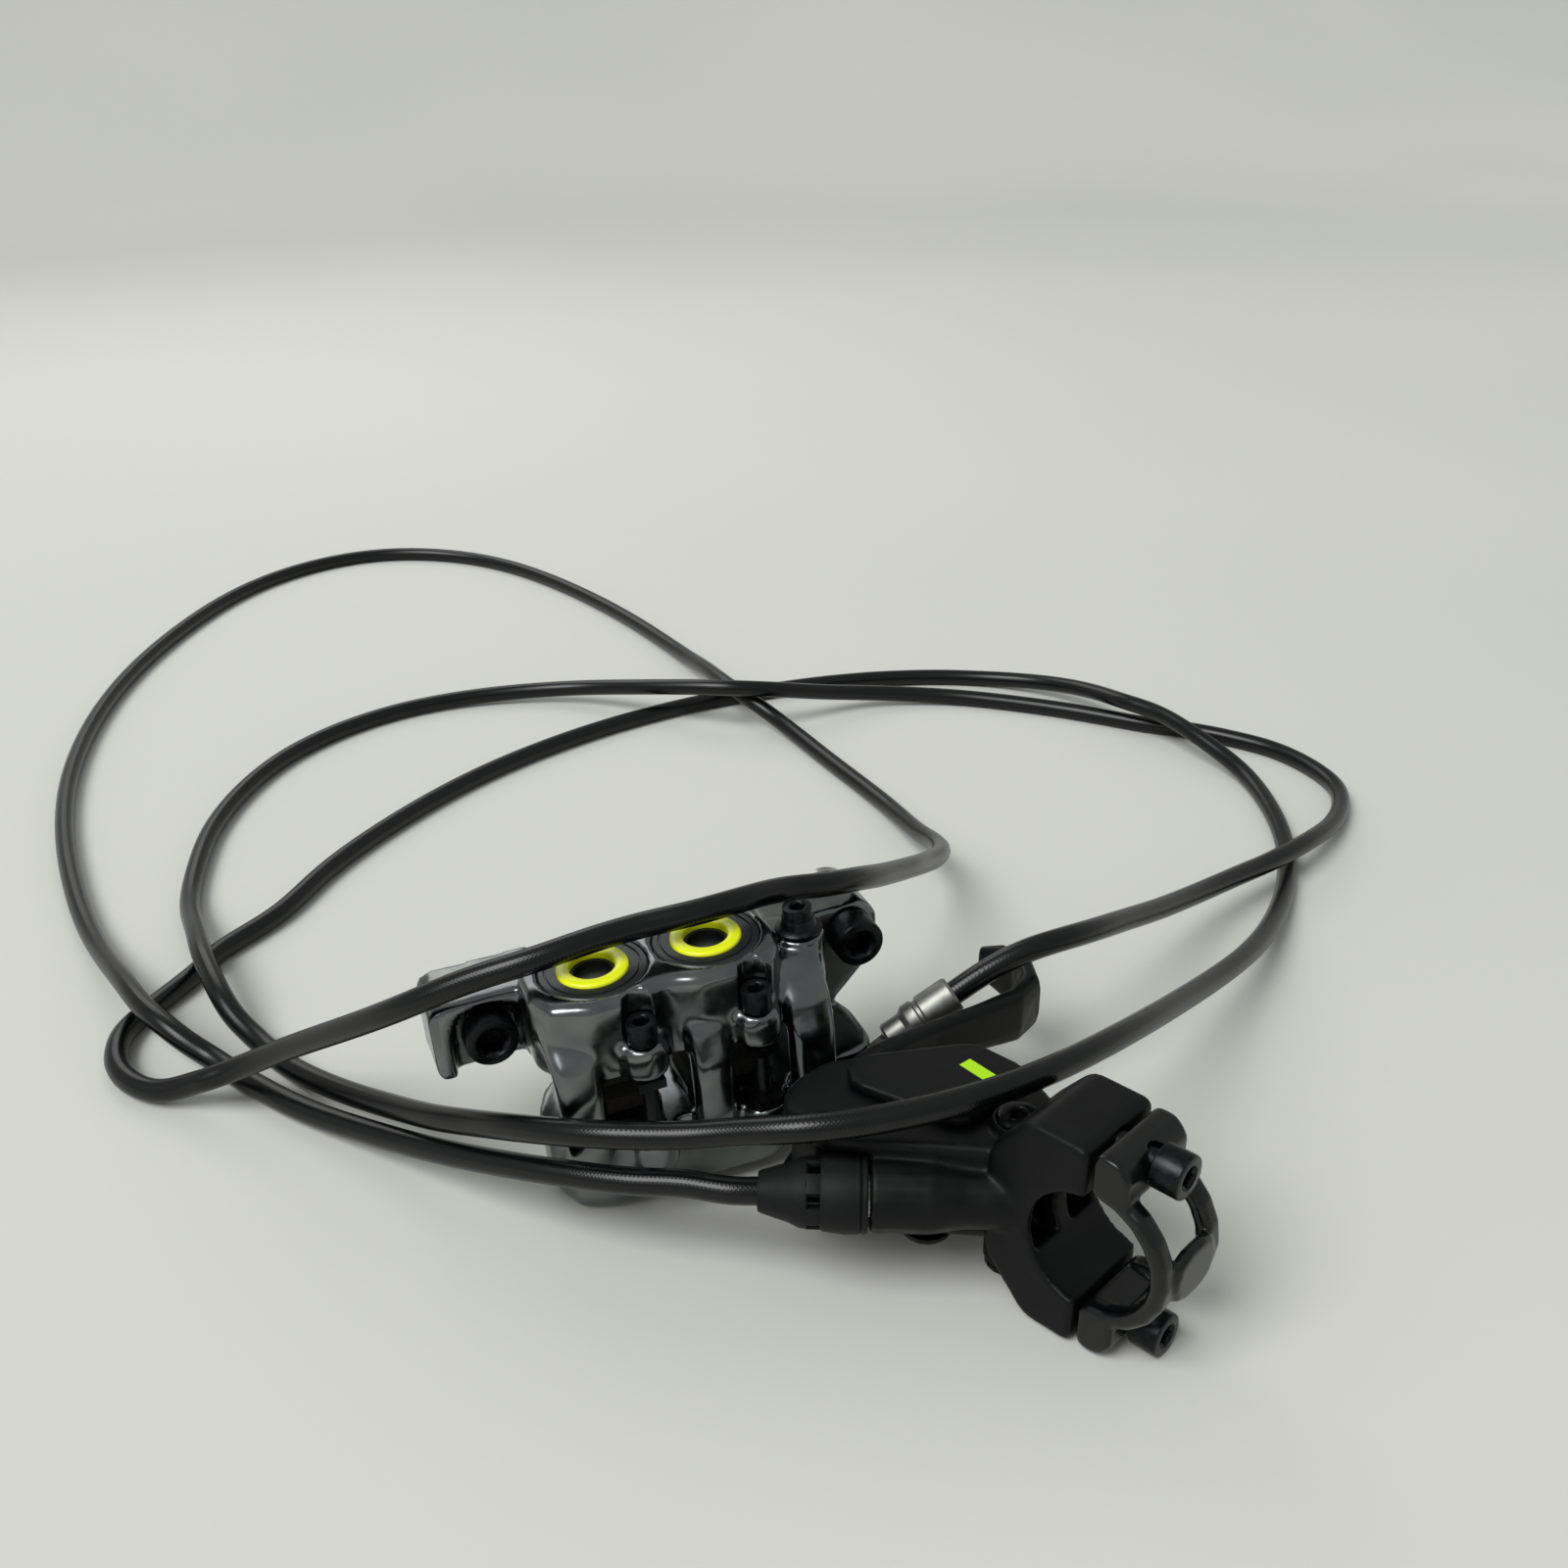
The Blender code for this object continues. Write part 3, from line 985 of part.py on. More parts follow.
# Hose: three flat loops on the floor that cross each other, the caliper and the lever in low humps.
HOSE_STRAY = 0.0011
CURVE_STEPS = 24
HOSE_ROUTE = (
    (-12.8, -53.1, 20.3), (-19.4, -48.9, 19.6), (-25.8, -43.9, 18.6), (-33.2, -36.3, 16.6),
    (-45.7, -20.1, 11.5), (-56, -4.7, 7), (-64, 6.9, 4.5), (-72.3, 18.2, 3.2), (-79.6, 29.3, 3),
    (-83.7, 36.1, 3), (-87.9, 42.3, 4), (-91.7, 45.9, 6.2), (-95.8, 51.2, 8.4), (-99.6, 59.1, 9),
    (-103.4, 72.7, 8), (-107.6, 90.6, 5), (-110.8, 105.9, 3.2), (-113.9, 124.9, 2.7),
    (-117.3, 168.3, 2.6), (-114.5, 217, 2.6), (-100.4, 275.5, 2.6), (-73.4, 332.4, 2.6),
    (-40.7, 371.8, 2.6), (0.2, 386.8, 2.6), (38.2, 367, 2.6), (64, 318.8, 2.6), (77.8, 264, 3),
    (82.3, 225, 4.5), (82.5, 203.2, 7.4), (83, 185.4, 8.8), (85.6, 171.8, 8.2), (90.3, 163.5, 5),
    (95.6, 132.1, 2.6), (98.1, 95.9, 3.5), (95.8, 73, 7), (93.5, 59.2, 11), (89.6, 48.2, 15),
    (83.1, 38, 19.5), (75.1, 28.5, 24.5), (65, 16.5, 31.5), (55.5, 6.3, 37.5), (46.3, -3.5, 43.5),
    (37.8, -10.8, 48.3), (30.2, -14.2, 50.6), (20.9, -15.7, 52.3), (10.8, -19.5, 54.3),
    (0.2, -21.4, 54.7), (-9.2, -20.5, 53.8), (-19.9, -20.9, 53), (-30.6, -20.8, 51.3), (-40.7, -17.7, 48),
    (-49.9, -13.2, 43), (-58.6, -4, 35), (-68.1, 9.5, 24.5), (-74.2, 17.6, 18), (-79.7, 23.3, 13),
    (-84.7, 26.5, 9.8), (-88.6, 28.2, 8), (-91.8, 30.4, 6.2), (-98.3, 34.5, 3.4), (-103.7, 40.7, 2.7),
    (-106.4, 48.5, 2.6), (-106, 56.7, 2.6), (-102.5, 64.2, 2.6), (-88.3, 80.4, 2.6), (-82.7, 87.9, 2.6),
    (-68.8, 99.9, 2.6), (-54.6, 117.8, 2.6), (-24.4, 146.5, 2.6), (5.9, 166.4, 2.6), (41.3, 181, 2.6),
    (69.3, 187.4, 2.6), (85.2, 188.9, 2.6), (100.8, 188.9, 2.6), (114.7, 188.3, 2.6), (140, 184.1, 2.6),
    (169.4, 171.9, 2.7), (186.6, 153.2, 5), (191.6, 135.2, 8), (193.6, 122.7, 9.5), (198.1, 112.1, 9.3),
    (200.6, 97.4, 8.3), (202.9, 87.9, 6.2), (204.3, 78.9, 4.2), (203.1, 68.7, 2.9), (194.4, 46.9, 2.6),
    (182.2, 27.5, 2.6), (165.3, 8.7, 4), (139.1, -13.5, 10), (105.6, -35.9, 20), (73.2, -57.2, 32),
    (50.8, -67.6, 37), (33.5, -70.7, 38), (17.6, -68.9, 37), (4.7, -65.1, 36), (-4.5, -58.3, 33),
    (-12.7, -52.6, 30.5), (-23.3, -46.4, 29.2), (-31, -39.4, 27), (-38.3, -29.5, 23), (-43, -20.9, 19),
    (-48.5, -11.5, 15), (-55.4, 2.8, 9.5), (-62.5, 16.2, 5.5), (-68.3, 26.4, 3.6), (-73.4, 35.9, 2.8),
    (-77.9, 46.1, 3.4), (-81.5, 53, 5.6), (-83.6, 58.9, 7.9), (-85.3, 68.3, 9.1), (-86.4, 77.5, 9.2),
    (-87.1, 91.7, 7.2), (-87.8, 113.3, 3.2), (-84.6, 135.7, 2.6), (-78.6, 157.5, 2.6),
    (-65.1, 183.7, 2.6), (-47, 203.3, 2.6), (-19.5, 217.6, 2.6), (11.8, 219.1, 3.2), (39.1, 208.1, 5.6),
    (54.5, 192.2, 9.6), (66.9, 179.4, 12.6), (78.6, 170.6, 13.8), (92.4, 167.8, 12.2), (110, 169.3, 8),
    (127.6, 169.5, 4.8), (146.6, 164.2, 3), (162, 154.9, 2.6), (184.9, 134.2, 2.6), (199.4, 118.2, 2.6),
    (210.6, 107.9, 2.6), (218.3, 98.3, 2.6), (224.5, 87.2, 2.6), (226.8, 71.9, 2.6), (224.8, 59.9, 2.6),
    (218.5, 49.9, 3), (206.2, 38.7, 4.5), (191.4, 29.3, 7.2), (179.7, 23.7, 8.6), (167.5, 19.3, 9.3),
    (159.7, 16.7, 10), (140.6, 8.7, 13), (117.6, -4.3, 20), (101.8, -13.8, 26), (88.6, -21.7, 31),
    (78.2, -25.2, 33), (68.9, -25.4, 32)
)


def lever_place(distance):
    """A place on the barrel's axis, seen from the set's own frame."""
    return np.array(lever.matrix_local @ along_barrel(distance))


def ferrule_place(distance):
    """A place on the ferrule's axis, seen from the set's own frame."""
    return np.array(caliper.matrix_local @ (FERRULE_START + FERRULE_AXIS * distance))


def through(points):
    """A smooth cubic curve through the points, with even bending from end to end."""
    steps = CURVE_STEPS
    spans = np.linalg.norm(np.diff(points, axis=0), axis=1) ** 0.6
    slopes = np.diff(points, axis=0) / spans[:, None]
    count = len(points)
    system = np.eye(count)
    pull = np.zeros((count, 3))
    for i in range(1, count - 1):
        system[i, i - 1:i + 2] = (spans[i - 1], 2 * (spans[i - 1] + spans[i]), spans[i])
        pull[i] = 6 * (slopes[i] - slopes[i - 1])
    bend = np.linalg.solve(system, pull)
    curve = []
    for i, span in enumerate(spans):
        for s in np.arange(steps) / steps * span:
            rest = span - s
            curve.append((bend[i] * rest ** 3 + bend[i + 1] * s ** 3) / (6 * span)
                         + (points[i] / span - bend[i] * span / 6) * rest
                         + (points[i + 1] / span - bend[i + 1] * span / 6) * s)
    curve.append(points[-1])
    return np.array(curve)


def strays(curve, first, last):
    """How far the curve leaves the straight line between two of its points."""
    along = Vector(curve[last] - curve[first]).normalized()
    return max(((Vector(place - curve[first])).cross(along)).length for place in curve[first:last + 1])


def thinned(curve):
    """The curve with as few points as keep each straight stretch close to it."""
    kept, start = [curve[0]], 0
    for i in range(2, len(curve)):
        if strays(curve, start, i) > HOSE_STRAY:
            start = i - 1
            kept.append(curve[start])
    kept.append(curve[-1])
    return kept


def build_hose():
    """The hose from the nut in the lever's barrel to the crimped ferrule of the caliper."""
    bpy.context.view_layer.update()
    tip = BARREL_LENGTH + RUNNING_GAP + SLEEVE_LENGTH
    start = [lever_place(HOSE_START), lever_place(tip - 0.006), lever_place(tip)]
    points = start + [lever_place(tip + 0.005)]
    points += [np.array(place) / 1000 for place in HOSE_ROUTE]
    points += [ferrule_place(FERRULE_LENGTH + 0.006), ferrule_place(FERRULE_LENGTH),
               ferrule_place(FERRULE_LENGTH - HOSE_DEPTH)]
    smooth = through(np.array(points))
    route = [start[0]] + thinned(smooth[2 * CURVE_STEPS:-CURVE_STEPS]) + [points[-1]]
    curve = bpy.data.curves.new("brake_hose", "CURVE")
    curve.dimensions = "3D"
    curve.bevel_depth = HOSE_RADIUS
    curve.bevel_resolution = 2
    curve.use_fill_caps = True
    line = curve.splines.new("POLY")
    line.points.add(len(route) - 1)
    for point, (x, y, z) in zip(line.points, route):
        point.co = (x, y, max(z, HOSE_RADIUS + HOSE_LIFT), 1.0)
    curve.materials.append(HOSE_BLACK)
    hose = bpy.data.objects.new("brake_hose", curve)
    hose.parent = set_frame
    bpy.context.collection.objects.link(hose)


build_hose()
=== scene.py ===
import math

import bmesh
import bpy
import numpy as np
from mathutils import Matrix, Vector


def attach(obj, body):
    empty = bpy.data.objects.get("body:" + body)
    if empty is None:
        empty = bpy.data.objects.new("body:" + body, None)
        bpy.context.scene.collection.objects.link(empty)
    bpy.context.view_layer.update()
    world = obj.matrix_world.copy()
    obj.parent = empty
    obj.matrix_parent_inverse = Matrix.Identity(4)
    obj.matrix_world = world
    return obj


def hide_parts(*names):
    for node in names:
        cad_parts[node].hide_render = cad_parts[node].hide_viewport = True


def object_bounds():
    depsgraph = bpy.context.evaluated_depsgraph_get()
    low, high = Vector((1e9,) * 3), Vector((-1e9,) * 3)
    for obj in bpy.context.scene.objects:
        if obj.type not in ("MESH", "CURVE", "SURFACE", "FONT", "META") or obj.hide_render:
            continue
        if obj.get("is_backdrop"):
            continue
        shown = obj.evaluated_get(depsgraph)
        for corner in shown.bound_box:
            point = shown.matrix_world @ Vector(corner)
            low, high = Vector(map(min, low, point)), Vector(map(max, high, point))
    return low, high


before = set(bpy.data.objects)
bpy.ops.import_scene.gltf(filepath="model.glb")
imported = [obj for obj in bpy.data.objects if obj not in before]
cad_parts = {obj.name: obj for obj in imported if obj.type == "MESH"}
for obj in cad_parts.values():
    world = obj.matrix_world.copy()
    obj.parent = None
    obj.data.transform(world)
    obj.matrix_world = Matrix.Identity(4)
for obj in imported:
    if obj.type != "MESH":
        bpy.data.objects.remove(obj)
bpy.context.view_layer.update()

# Camera: about 0.2 m above the floor in front of the set, looking down over the lever at the
# caliper, with the loops of hose running away behind them.
camera = bpy.data.objects.new("camera", bpy.data.cameras.new("camera"))
camera.data.lens = 36
camera.data.sensor_width = 36
camera.data.clip_start = 0.01
camera.data.clip_end = 20
camera.location = (-0.09185, -0.20787, 0.2031)
camera.rotation_euler = (math.radians(64), 0, math.radians(-22.18))
bpy.context.collection.objects.link(camera)
bpy.context.scene.camera = camera
bpy.context.scene.view_settings.view_transform = "Standard"


# Floor: a sheet of pale board, matt and slightly warm, that sweeps up into its own backdrop.
def linear(code):
    """An sRGB hex colour as linear light with full opacity."""
    parts = [int(code[i:i + 2], 16) / 255 for i in (1, 3, 5)]
    return [c / 12.92 if c <= 0.04045 else ((c + 0.055) / 1.055) ** 2.4 for c in parts] + [1.0]


def add(tree, kind, settings=(), values=(), links=(), stops=(), into=None):
    """Adds a node with its settings, its sockets' values, a ramp's stops and its links.

    The links lead into it by socket, and its first output leads into the socket given last.
    """
    made = tree.nodes.new("ShaderNode" + kind)
    for key, value in dict(settings).items():
        setattr(made, key, value)
    for socket, value in dict(values).items():
        made.inputs[socket].default_value = value
    for i, (position, code) in enumerate(stops):
        made.color_ramp.elements[i].position = position
        made.color_ramp.elements[i].color = linear(code)
    for socket, source in dict(links).items():
        tree.links.new(source, made.inputs[socket])
    if into is not None:
        tree.links.new(made.outputs[0], into)
    return made


def new_material(name, values):
    """A material with its shader's plain values; returns it, its tree and its shader."""
    made = bpy.data.materials.new(name)
    made.use_nodes = True
    shader = made.node_tree.nodes["Principled BSDF"]
    for socket, value in values.items():
        shader.inputs[socket].default_value = value
    return made, made.node_tree, shader


board, tree, shader = new_material("pale board", {"Roughness": 0.75, "Specular IOR Level": 0.3})
place = add(tree, "TexCoord").outputs["Object"]
cloud = add(tree, "TexNoise", values={"Scale": 1.1, "Detail": 2.0}, links={"Vector": place})
add(tree, "ValToRGB", links={"Fac": cloud.outputs["Fac"]}, stops=((0.3, "#C4C5C0"), (0.7, "#CCCDC7")),
    into=shader.inputs["Base Color"])
FLOOR_NEAR, FLOOR_FAR, FLOOR_HALF, SWEEP, BACKDROP = -3.0, 1.6, 4.0, 0.9, 3.5
bm = bmesh.new()
profile = [(FLOOR_NEAR, 0.0), (FLOOR_FAR, 0.0)]
profile += [(FLOOR_FAR + SWEEP * math.sin(a), SWEEP - SWEEP * math.cos(a))
            for a in np.radians(range(6, 91, 6))]
profile += [(FLOOR_FAR + SWEEP, BACKDROP)]
verts = [bm.verts.new((-FLOOR_HALF, y, z)) for y, z in profile]
edges = [bm.edges.new(pair) for pair in zip(verts, verts[1:])]
drawn = bmesh.ops.extrude_edge_only(bm, edges=edges)
moved = [g for g in drawn["geom"] if isinstance(g, bmesh.types.BMVert)]
bmesh.ops.translate(bm, verts=moved, vec=(2 * FLOOR_HALF, 0, 0))
bmesh.ops.recalc_face_normals(bm, faces=bm.faces)
floor_mesh = bpy.data.meshes.new("floor")
bm.to_mesh(floor_mesh)
bm.free()
floor_mesh.shade_smooth()
floor = bpy.data.objects.new("floor", floor_mesh)
floor.data.materials.append(board)
bpy.context.collection.objects.link(floor)
floor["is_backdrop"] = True

# Light: a broad soft light from the upper left, a window-like panel beside it, a lower panel
# behind, and a pale room.
world = bpy.data.worlds.new("room")
bpy.context.scene.world = world
world.use_nodes = True
room = world.node_tree
room.nodes["Background"].inputs["Color"].default_value = linear("#DCDEDC")
room.nodes["Background"].inputs["Strength"].default_value = 0.6
lamp = bpy.data.lights.new("broad_light", "SUN")
lamp.energy = 1.9
lamp.angle = math.radians(32)
broad = bpy.data.objects.new("broad_light", lamp)
broad.rotation_euler = Vector((0.72, 0.25, -1.0)).to_track_quat("-Z", "Y").to_euler()
bpy.context.collection.objects.link(broad)
for name, place_at, aim, width, power in (
        ("window", (-0.75, -0.35, 0.9), (0.0, 0.0, 0.0), 0.8, 3.5),
        ("back_panel", (-0.1, 1.0, 0.7), (0.0, 0.1, 0.0), 0.6, 2.0)):
    lamp = bpy.data.lights.new(name, "AREA")
    lamp.size = width
    lamp.energy = power
    panel = bpy.data.objects.new(name, lamp)
    panel.location = place_at
    panel.rotation_euler = (Vector(aim) - Vector(place_at)).to_track_quat("-Z", "Y").to_euler()
    bpy.context.collection.objects.link(panel)


# Brake hose: a stiff nylon-jacketed hydraulic hose, 5 mm thick and 2.8 m long. It leaves the nut
# in the lever's barrel, lies in three loops on the floor that cross in low humps, passes over the
# caliper and the reservoir, and ends in the crimped ferrule of the caliper's union.
SET = Vector((-0.01355, 0.05123, 0.0))
HOSE_RADIUS = 0.0025
HOSE_ROUTE = (
    (-12.8, -53.1, 20.3), (-19.4, -48.9, 19.6), (-25.8, -43.9, 18.6), (-33.2, -36.3, 16.6),
    (-45.7, -20.1, 11.5), (-56, -4.7, 7), (-64, 6.9, 4.5), (-72.3, 18.2, 3.2), (-79.6, 29.3, 3),
    (-83.7, 36.1, 3), (-87.9, 42.3, 4), (-91.7, 45.9, 6.2), (-95.8, 51.2, 8.4), (-99.6, 59.1, 9),
    (-103.4, 72.7, 8), (-107.6, 90.6, 5), (-110.8, 105.9, 3.2), (-113.9, 124.9, 2.7),
    (-117.3, 168.3, 2.6), (-114.5, 217, 2.6), (-100.4, 275.5, 2.6), (-73.4, 332.4, 2.6),
    (-40.7, 371.8, 2.6), (0.2, 386.8, 2.6), (38.2, 367, 2.6), (64, 318.8, 2.6), (77.8, 264, 3),
    (82.3, 225, 4.5), (82.5, 203.2, 7.4), (83, 185.4, 8.8), (85.6, 171.8, 8.2), (90.3, 163.5, 5),
    (95.6, 132.1, 2.6), (98.1, 95.9, 3.5), (95.8, 73, 7), (93.5, 59.2, 11), (89.6, 48.2, 15),
    (83.1, 38, 19.5), (75.1, 28.5, 24.5), (65, 16.5, 31.5), (55.5, 6.3, 37.5), (46.3, -3.5, 43.5),
    (37.8, -10.8, 48.3), (30.2, -14.2, 50.6), (20.9, -15.7, 52.3), (10.8, -19.5, 54.3),
    (0.2, -21.4, 54.7), (-9.2, -20.5, 53.8), (-19.9, -20.9, 53), (-30.6, -20.8, 51.3), (-40.7, -17.7, 48),
    (-49.9, -13.2, 43), (-58.6, -4, 35), (-68.1, 9.5, 24.5), (-74.2, 17.6, 18), (-79.7, 23.3, 13),
    (-84.7, 26.5, 9.8), (-88.6, 28.2, 8), (-91.8, 30.4, 6.2), (-98.3, 34.5, 3.4), (-103.7, 40.7, 2.7),
    (-106.4, 48.5, 2.6), (-106, 56.7, 2.6), (-102.5, 64.2, 2.6), (-88.3, 80.4, 2.6), (-82.7, 87.9, 2.6),
    (-68.8, 99.9, 2.6), (-54.6, 117.8, 2.6), (-24.4, 146.5, 2.6), (5.9, 166.4, 2.6), (41.3, 181, 2.6),
    (69.3, 187.4, 2.6), (85.2, 188.9, 2.6), (100.8, 188.9, 2.6), (114.7, 188.3, 2.6), (140, 184.1, 2.6),
    (169.4, 171.9, 2.7), (186.6, 153.2, 5), (191.6, 135.2, 8), (193.6, 122.7, 9.5), (198.1, 112.1, 9.3),
    (200.6, 97.4, 8.3), (202.9, 87.9, 6.2), (204.3, 78.9, 4.2), (203.1, 68.7, 2.9), (194.4, 46.9, 2.6),
    (182.2, 27.5, 2.6), (165.3, 8.7, 4), (139.1, -13.5, 10), (105.6, -35.9, 20), (73.2, -57.2, 32),
    (50.8, -67.6, 37), (33.5, -70.7, 38), (17.6, -68.9, 37), (4.7, -65.1, 36), (-4.5, -58.3, 33),
    (-12.7, -52.6, 30.5), (-23.3, -46.4, 29.2), (-31, -39.4, 27), (-38.3, -29.5, 23), (-43, -20.9, 19),
    (-48.5, -11.5, 15), (-55.4, 2.8, 9.5), (-62.5, 16.2, 5.5), (-68.3, 26.4, 3.6), (-73.4, 35.9, 2.8),
    (-77.9, 46.1, 3.4), (-81.5, 53, 5.6), (-83.6, 58.9, 7.9), (-85.3, 68.3, 9.1), (-86.4, 77.5, 9.2),
    (-87.1, 91.7, 7.2), (-87.8, 113.3, 3.2), (-84.6, 135.7, 2.6), (-78.6, 157.5, 2.6),
    (-65.1, 183.7, 2.6), (-47, 203.3, 2.6), (-19.5, 217.6, 2.6), (11.8, 219.1, 3.2), (39.1, 208.1, 5.6),
    (54.5, 192.2, 9.6), (66.9, 179.4, 12.6), (78.6, 170.6, 13.8), (92.4, 167.8, 12.2), (110, 169.3, 8),
    (127.6, 169.5, 4.8), (146.6, 164.2, 3), (162, 154.9, 2.6), (184.9, 134.2, 2.6), (199.4, 118.2, 2.6),
    (210.6, 107.9, 2.6), (218.3, 98.3, 2.6), (224.5, 87.2, 2.6), (226.8, 71.9, 2.6), (224.8, 59.9, 2.6),
    (218.5, 49.9, 3), (206.2, 38.7, 4.5), (191.4, 29.3, 7.2), (179.7, 23.7, 8.6), (167.5, 19.3, 9.3),
    (159.7, 16.7, 10), (140.6, 8.7, 13), (117.6, -4.3, 20), (101.8, -13.8, 26), (88.6, -21.7, 31),
    (78.2, -25.2, 33), (68.9, -25.4, 32)
)
LEVER_TURN = math.radians(24.0)
CALIPER = (Matrix.Translation(SET + Vector((0, 0, 0.025403)))
           @ Matrix.Rotation(math.radians(-4.0), 4, "Y"))
LEVER = Matrix.Translation(SET + Vector((0.0507, -0.0910, 0.020794))) @ Matrix.Rotation(LEVER_TURN, 4, "Z")
BARREL_ROOT = Vector((-0.0035, 0.0136, 0.0))
BARREL_DIRECTION = Vector((-0.665, 0.747, 0.0)).normalized()
BARREL_LENGTH = 0.0290
SLEEVE_LENGTH = 0.0190
FERRULE_START = Vector((0.0400, -0.0225, -0.0115))
FERRULE_AXIS = Vector((1.0, -0.10, 0.50)).normalized()
FERRULE_LENGTH = 0.0165


def through(points, steps):
    """A smooth cubic curve through the points, with even bending from end to end."""
    spans = np.linalg.norm(np.diff(points, axis=0), axis=1) ** 0.6
    slopes = np.diff(points, axis=0) / spans[:, None]
    count = len(points)
    system, pull = np.eye(count), np.zeros((count, 3))
    for i in range(1, count - 1):
        system[i, i - 1:i + 2] = (spans[i - 1], 2 * (spans[i - 1] + spans[i]), spans[i])
        pull[i] = 6 * (slopes[i] - slopes[i - 1])
    bend = np.linalg.solve(system, pull)
    curve = []
    for i, span in enumerate(spans):
        for s in np.arange(steps) / steps * span:
            rest = span - s
            curve.append((bend[i] * rest ** 3 + bend[i + 1] * s ** 3) / (6 * span)
                         + (points[i] / span - bend[i] * span / 6) * rest
                         + (points[i + 1] / span - bend[i + 1] * span / 6) * s)
    curve.append(points[-1])
    return np.array(curve)


sleeve_tip = BARREL_LENGTH + 0.0003 + SLEEVE_LENGTH
hose_points = [LEVER @ (BARREL_ROOT + BARREL_DIRECTION * t)
               for t in (0.0239, sleeve_tip - 0.006, sleeve_tip, sleeve_tip + 0.005)]
hose_points += [SET + Vector(p) / 1000 for p in HOSE_ROUTE]
hose_points += [CALIPER @ (FERRULE_START + FERRULE_AXIS * t)
                for t in (FERRULE_LENGTH + 0.006, FERRULE_LENGTH, FERRULE_LENGTH - 0.0057)]
hose_line = through(np.array([list(p) for p in hose_points]), 8)
hose_line[:, 2] = np.maximum(hose_line[:, 2], HOSE_RADIUS + 0.00005)
HOSE_SIDES = 12
line = bpy.data.curves.new("hose_line", "CURVE")
line.dimensions = "3D"
line.bevel_depth = HOSE_RADIUS
line.bevel_resolution = HOSE_SIDES // 2 - 2
line.use_fill_caps = True
spline = line.splines.new("POLY")
spline.points.add(len(hose_line) - 1)
for point, p in zip(spline.points, hose_line):
    point.co = (*p, 1.0)
guide = bpy.data.objects.new("hose_guide", line)
bpy.context.collection.objects.link(guide)
hose_mesh = bpy.data.meshes.new_from_object(guide.evaluated_get(bpy.context.evaluated_depsgraph_get()))
bpy.data.objects.remove(guide)
hose = bpy.data.objects.new("hose_jacket", hose_mesh)
bpy.context.collection.objects.link(hose)
hose_mesh.shade_smooth()
ran = np.concatenate([[0.0], np.cumsum(np.linalg.norm(np.diff(hose_line, axis=0), axis=1))])
along = hose_mesh.uv_layers[0] if hose_mesh.uv_layers else hose_mesh.uv_layers.new(name="along")
sides = len(hose_mesh.vertices) // len(hose_line)
for face in hose_mesh.polygons:
    around = [(hose_mesh.loops[i].vertex_index % sides) / sides for i in face.loop_indices]
    wraps = max(around) - min(around) > 0.5
    for i, a in zip(face.loop_indices, around):
        ring = min(hose_mesh.loops[i].vertex_index // sides, len(ran) - 1)
        along.data[i].uv = (ran[ring] / (2 * math.pi * HOSE_RADIUS), a + 1.0 if wraps and a < 0.5 else a)


# Extruded nylon over a woven braid, which shows through as fine slanting ribs 0.6 mm apart.
nylon, tree, shader = new_material("extruded nylon jacket", {
    "Base Color": linear("#050607"), "Roughness": 0.26, "IOR": 1.53, "Specular IOR Level": 0.3})
laid = add(tree, "UVMap", {"uv_map": along.name})
ribs = []
for turn in (0.62, -0.62):
    tilt = add(tree, "Mapping", values={"Rotation": (0.0, 0.0, turn)}, links={"Vector": laid.outputs["UV"]})
    ribs.append(add(tree, "TexWave", {"wave_profile": "SIN"},
                    {"Scale": 8.0, "Distortion": 0.6, "Detail": 1.0}, {"Vector": tilt.outputs["Vector"]}))
woven = add(tree, "Math", {"operation": "MULTIPLY"},
            links={0: ribs[0].outputs["Fac"], 1: ribs[1].outputs["Fac"]})
add(tree, "Bump", values={"Strength": 0.2, "Distance": 0.0001}, links={"Height": woven.outputs["Value"]},
    into=shader.inputs["Normal"])
hose_mesh.materials.clear()
hose_mesh.materials.append(nylon)
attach(hose, "housing")
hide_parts("brake_hose")


# Caliper body: one aluminium forging, tumbled and polished to a dark smoked sheen, with satin
# faces where the cutter has passed: the bolt seats of both ears. The forging's fillets flow into
# each other, so the plain solid is remeshed finely and relaxed.
def relaxed(node, name, body, material, voxel, passes, worked=None):
    """A finer copy of a plain solid with its edges rounded, except where worked(spot) is true."""
    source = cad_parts[node].data.copy()
    bm = bmesh.new()
    bm.from_mesh(source)
    bmesh.ops.remove_doubles(bm, verts=bm.verts, dist=1e-6)
    bm.to_mesh(source)
    bm.free()
    made = bpy.data.objects.new(name, source)
    bpy.context.collection.objects.link(made)
    fine = made.modifiers.new("fine", "REMESH")
    fine.mode = "VOXEL"
    fine.voxel_size = voxel
    made.data = bpy.data.meshes.new_from_object(made.evaluated_get(bpy.context.evaluated_depsgraph_get()))
    made.modifiers.clear()
    loose = made.vertex_groups.new(name="loose")
    loose.add([v.index for v in made.data.vertices if not (worked and worked(v.co))], 1.0, "REPLACE")
    calm = made.modifiers.new("calm", "SMOOTH")
    calm.factor = 0.5
    calm.iterations = passes
    calm.vertex_group = "loose"
    made.data = bpy.data.meshes.new_from_object(made.evaluated_get(bpy.context.evaluated_depsgraph_get()))
    made.modifiers.clear()
    made.vertex_groups.clear()
    made.data.shade_smooth()
    made.data.materials.clear()
    made.data.materials.append(material)
    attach(made, body)
    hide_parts(node)
    return made


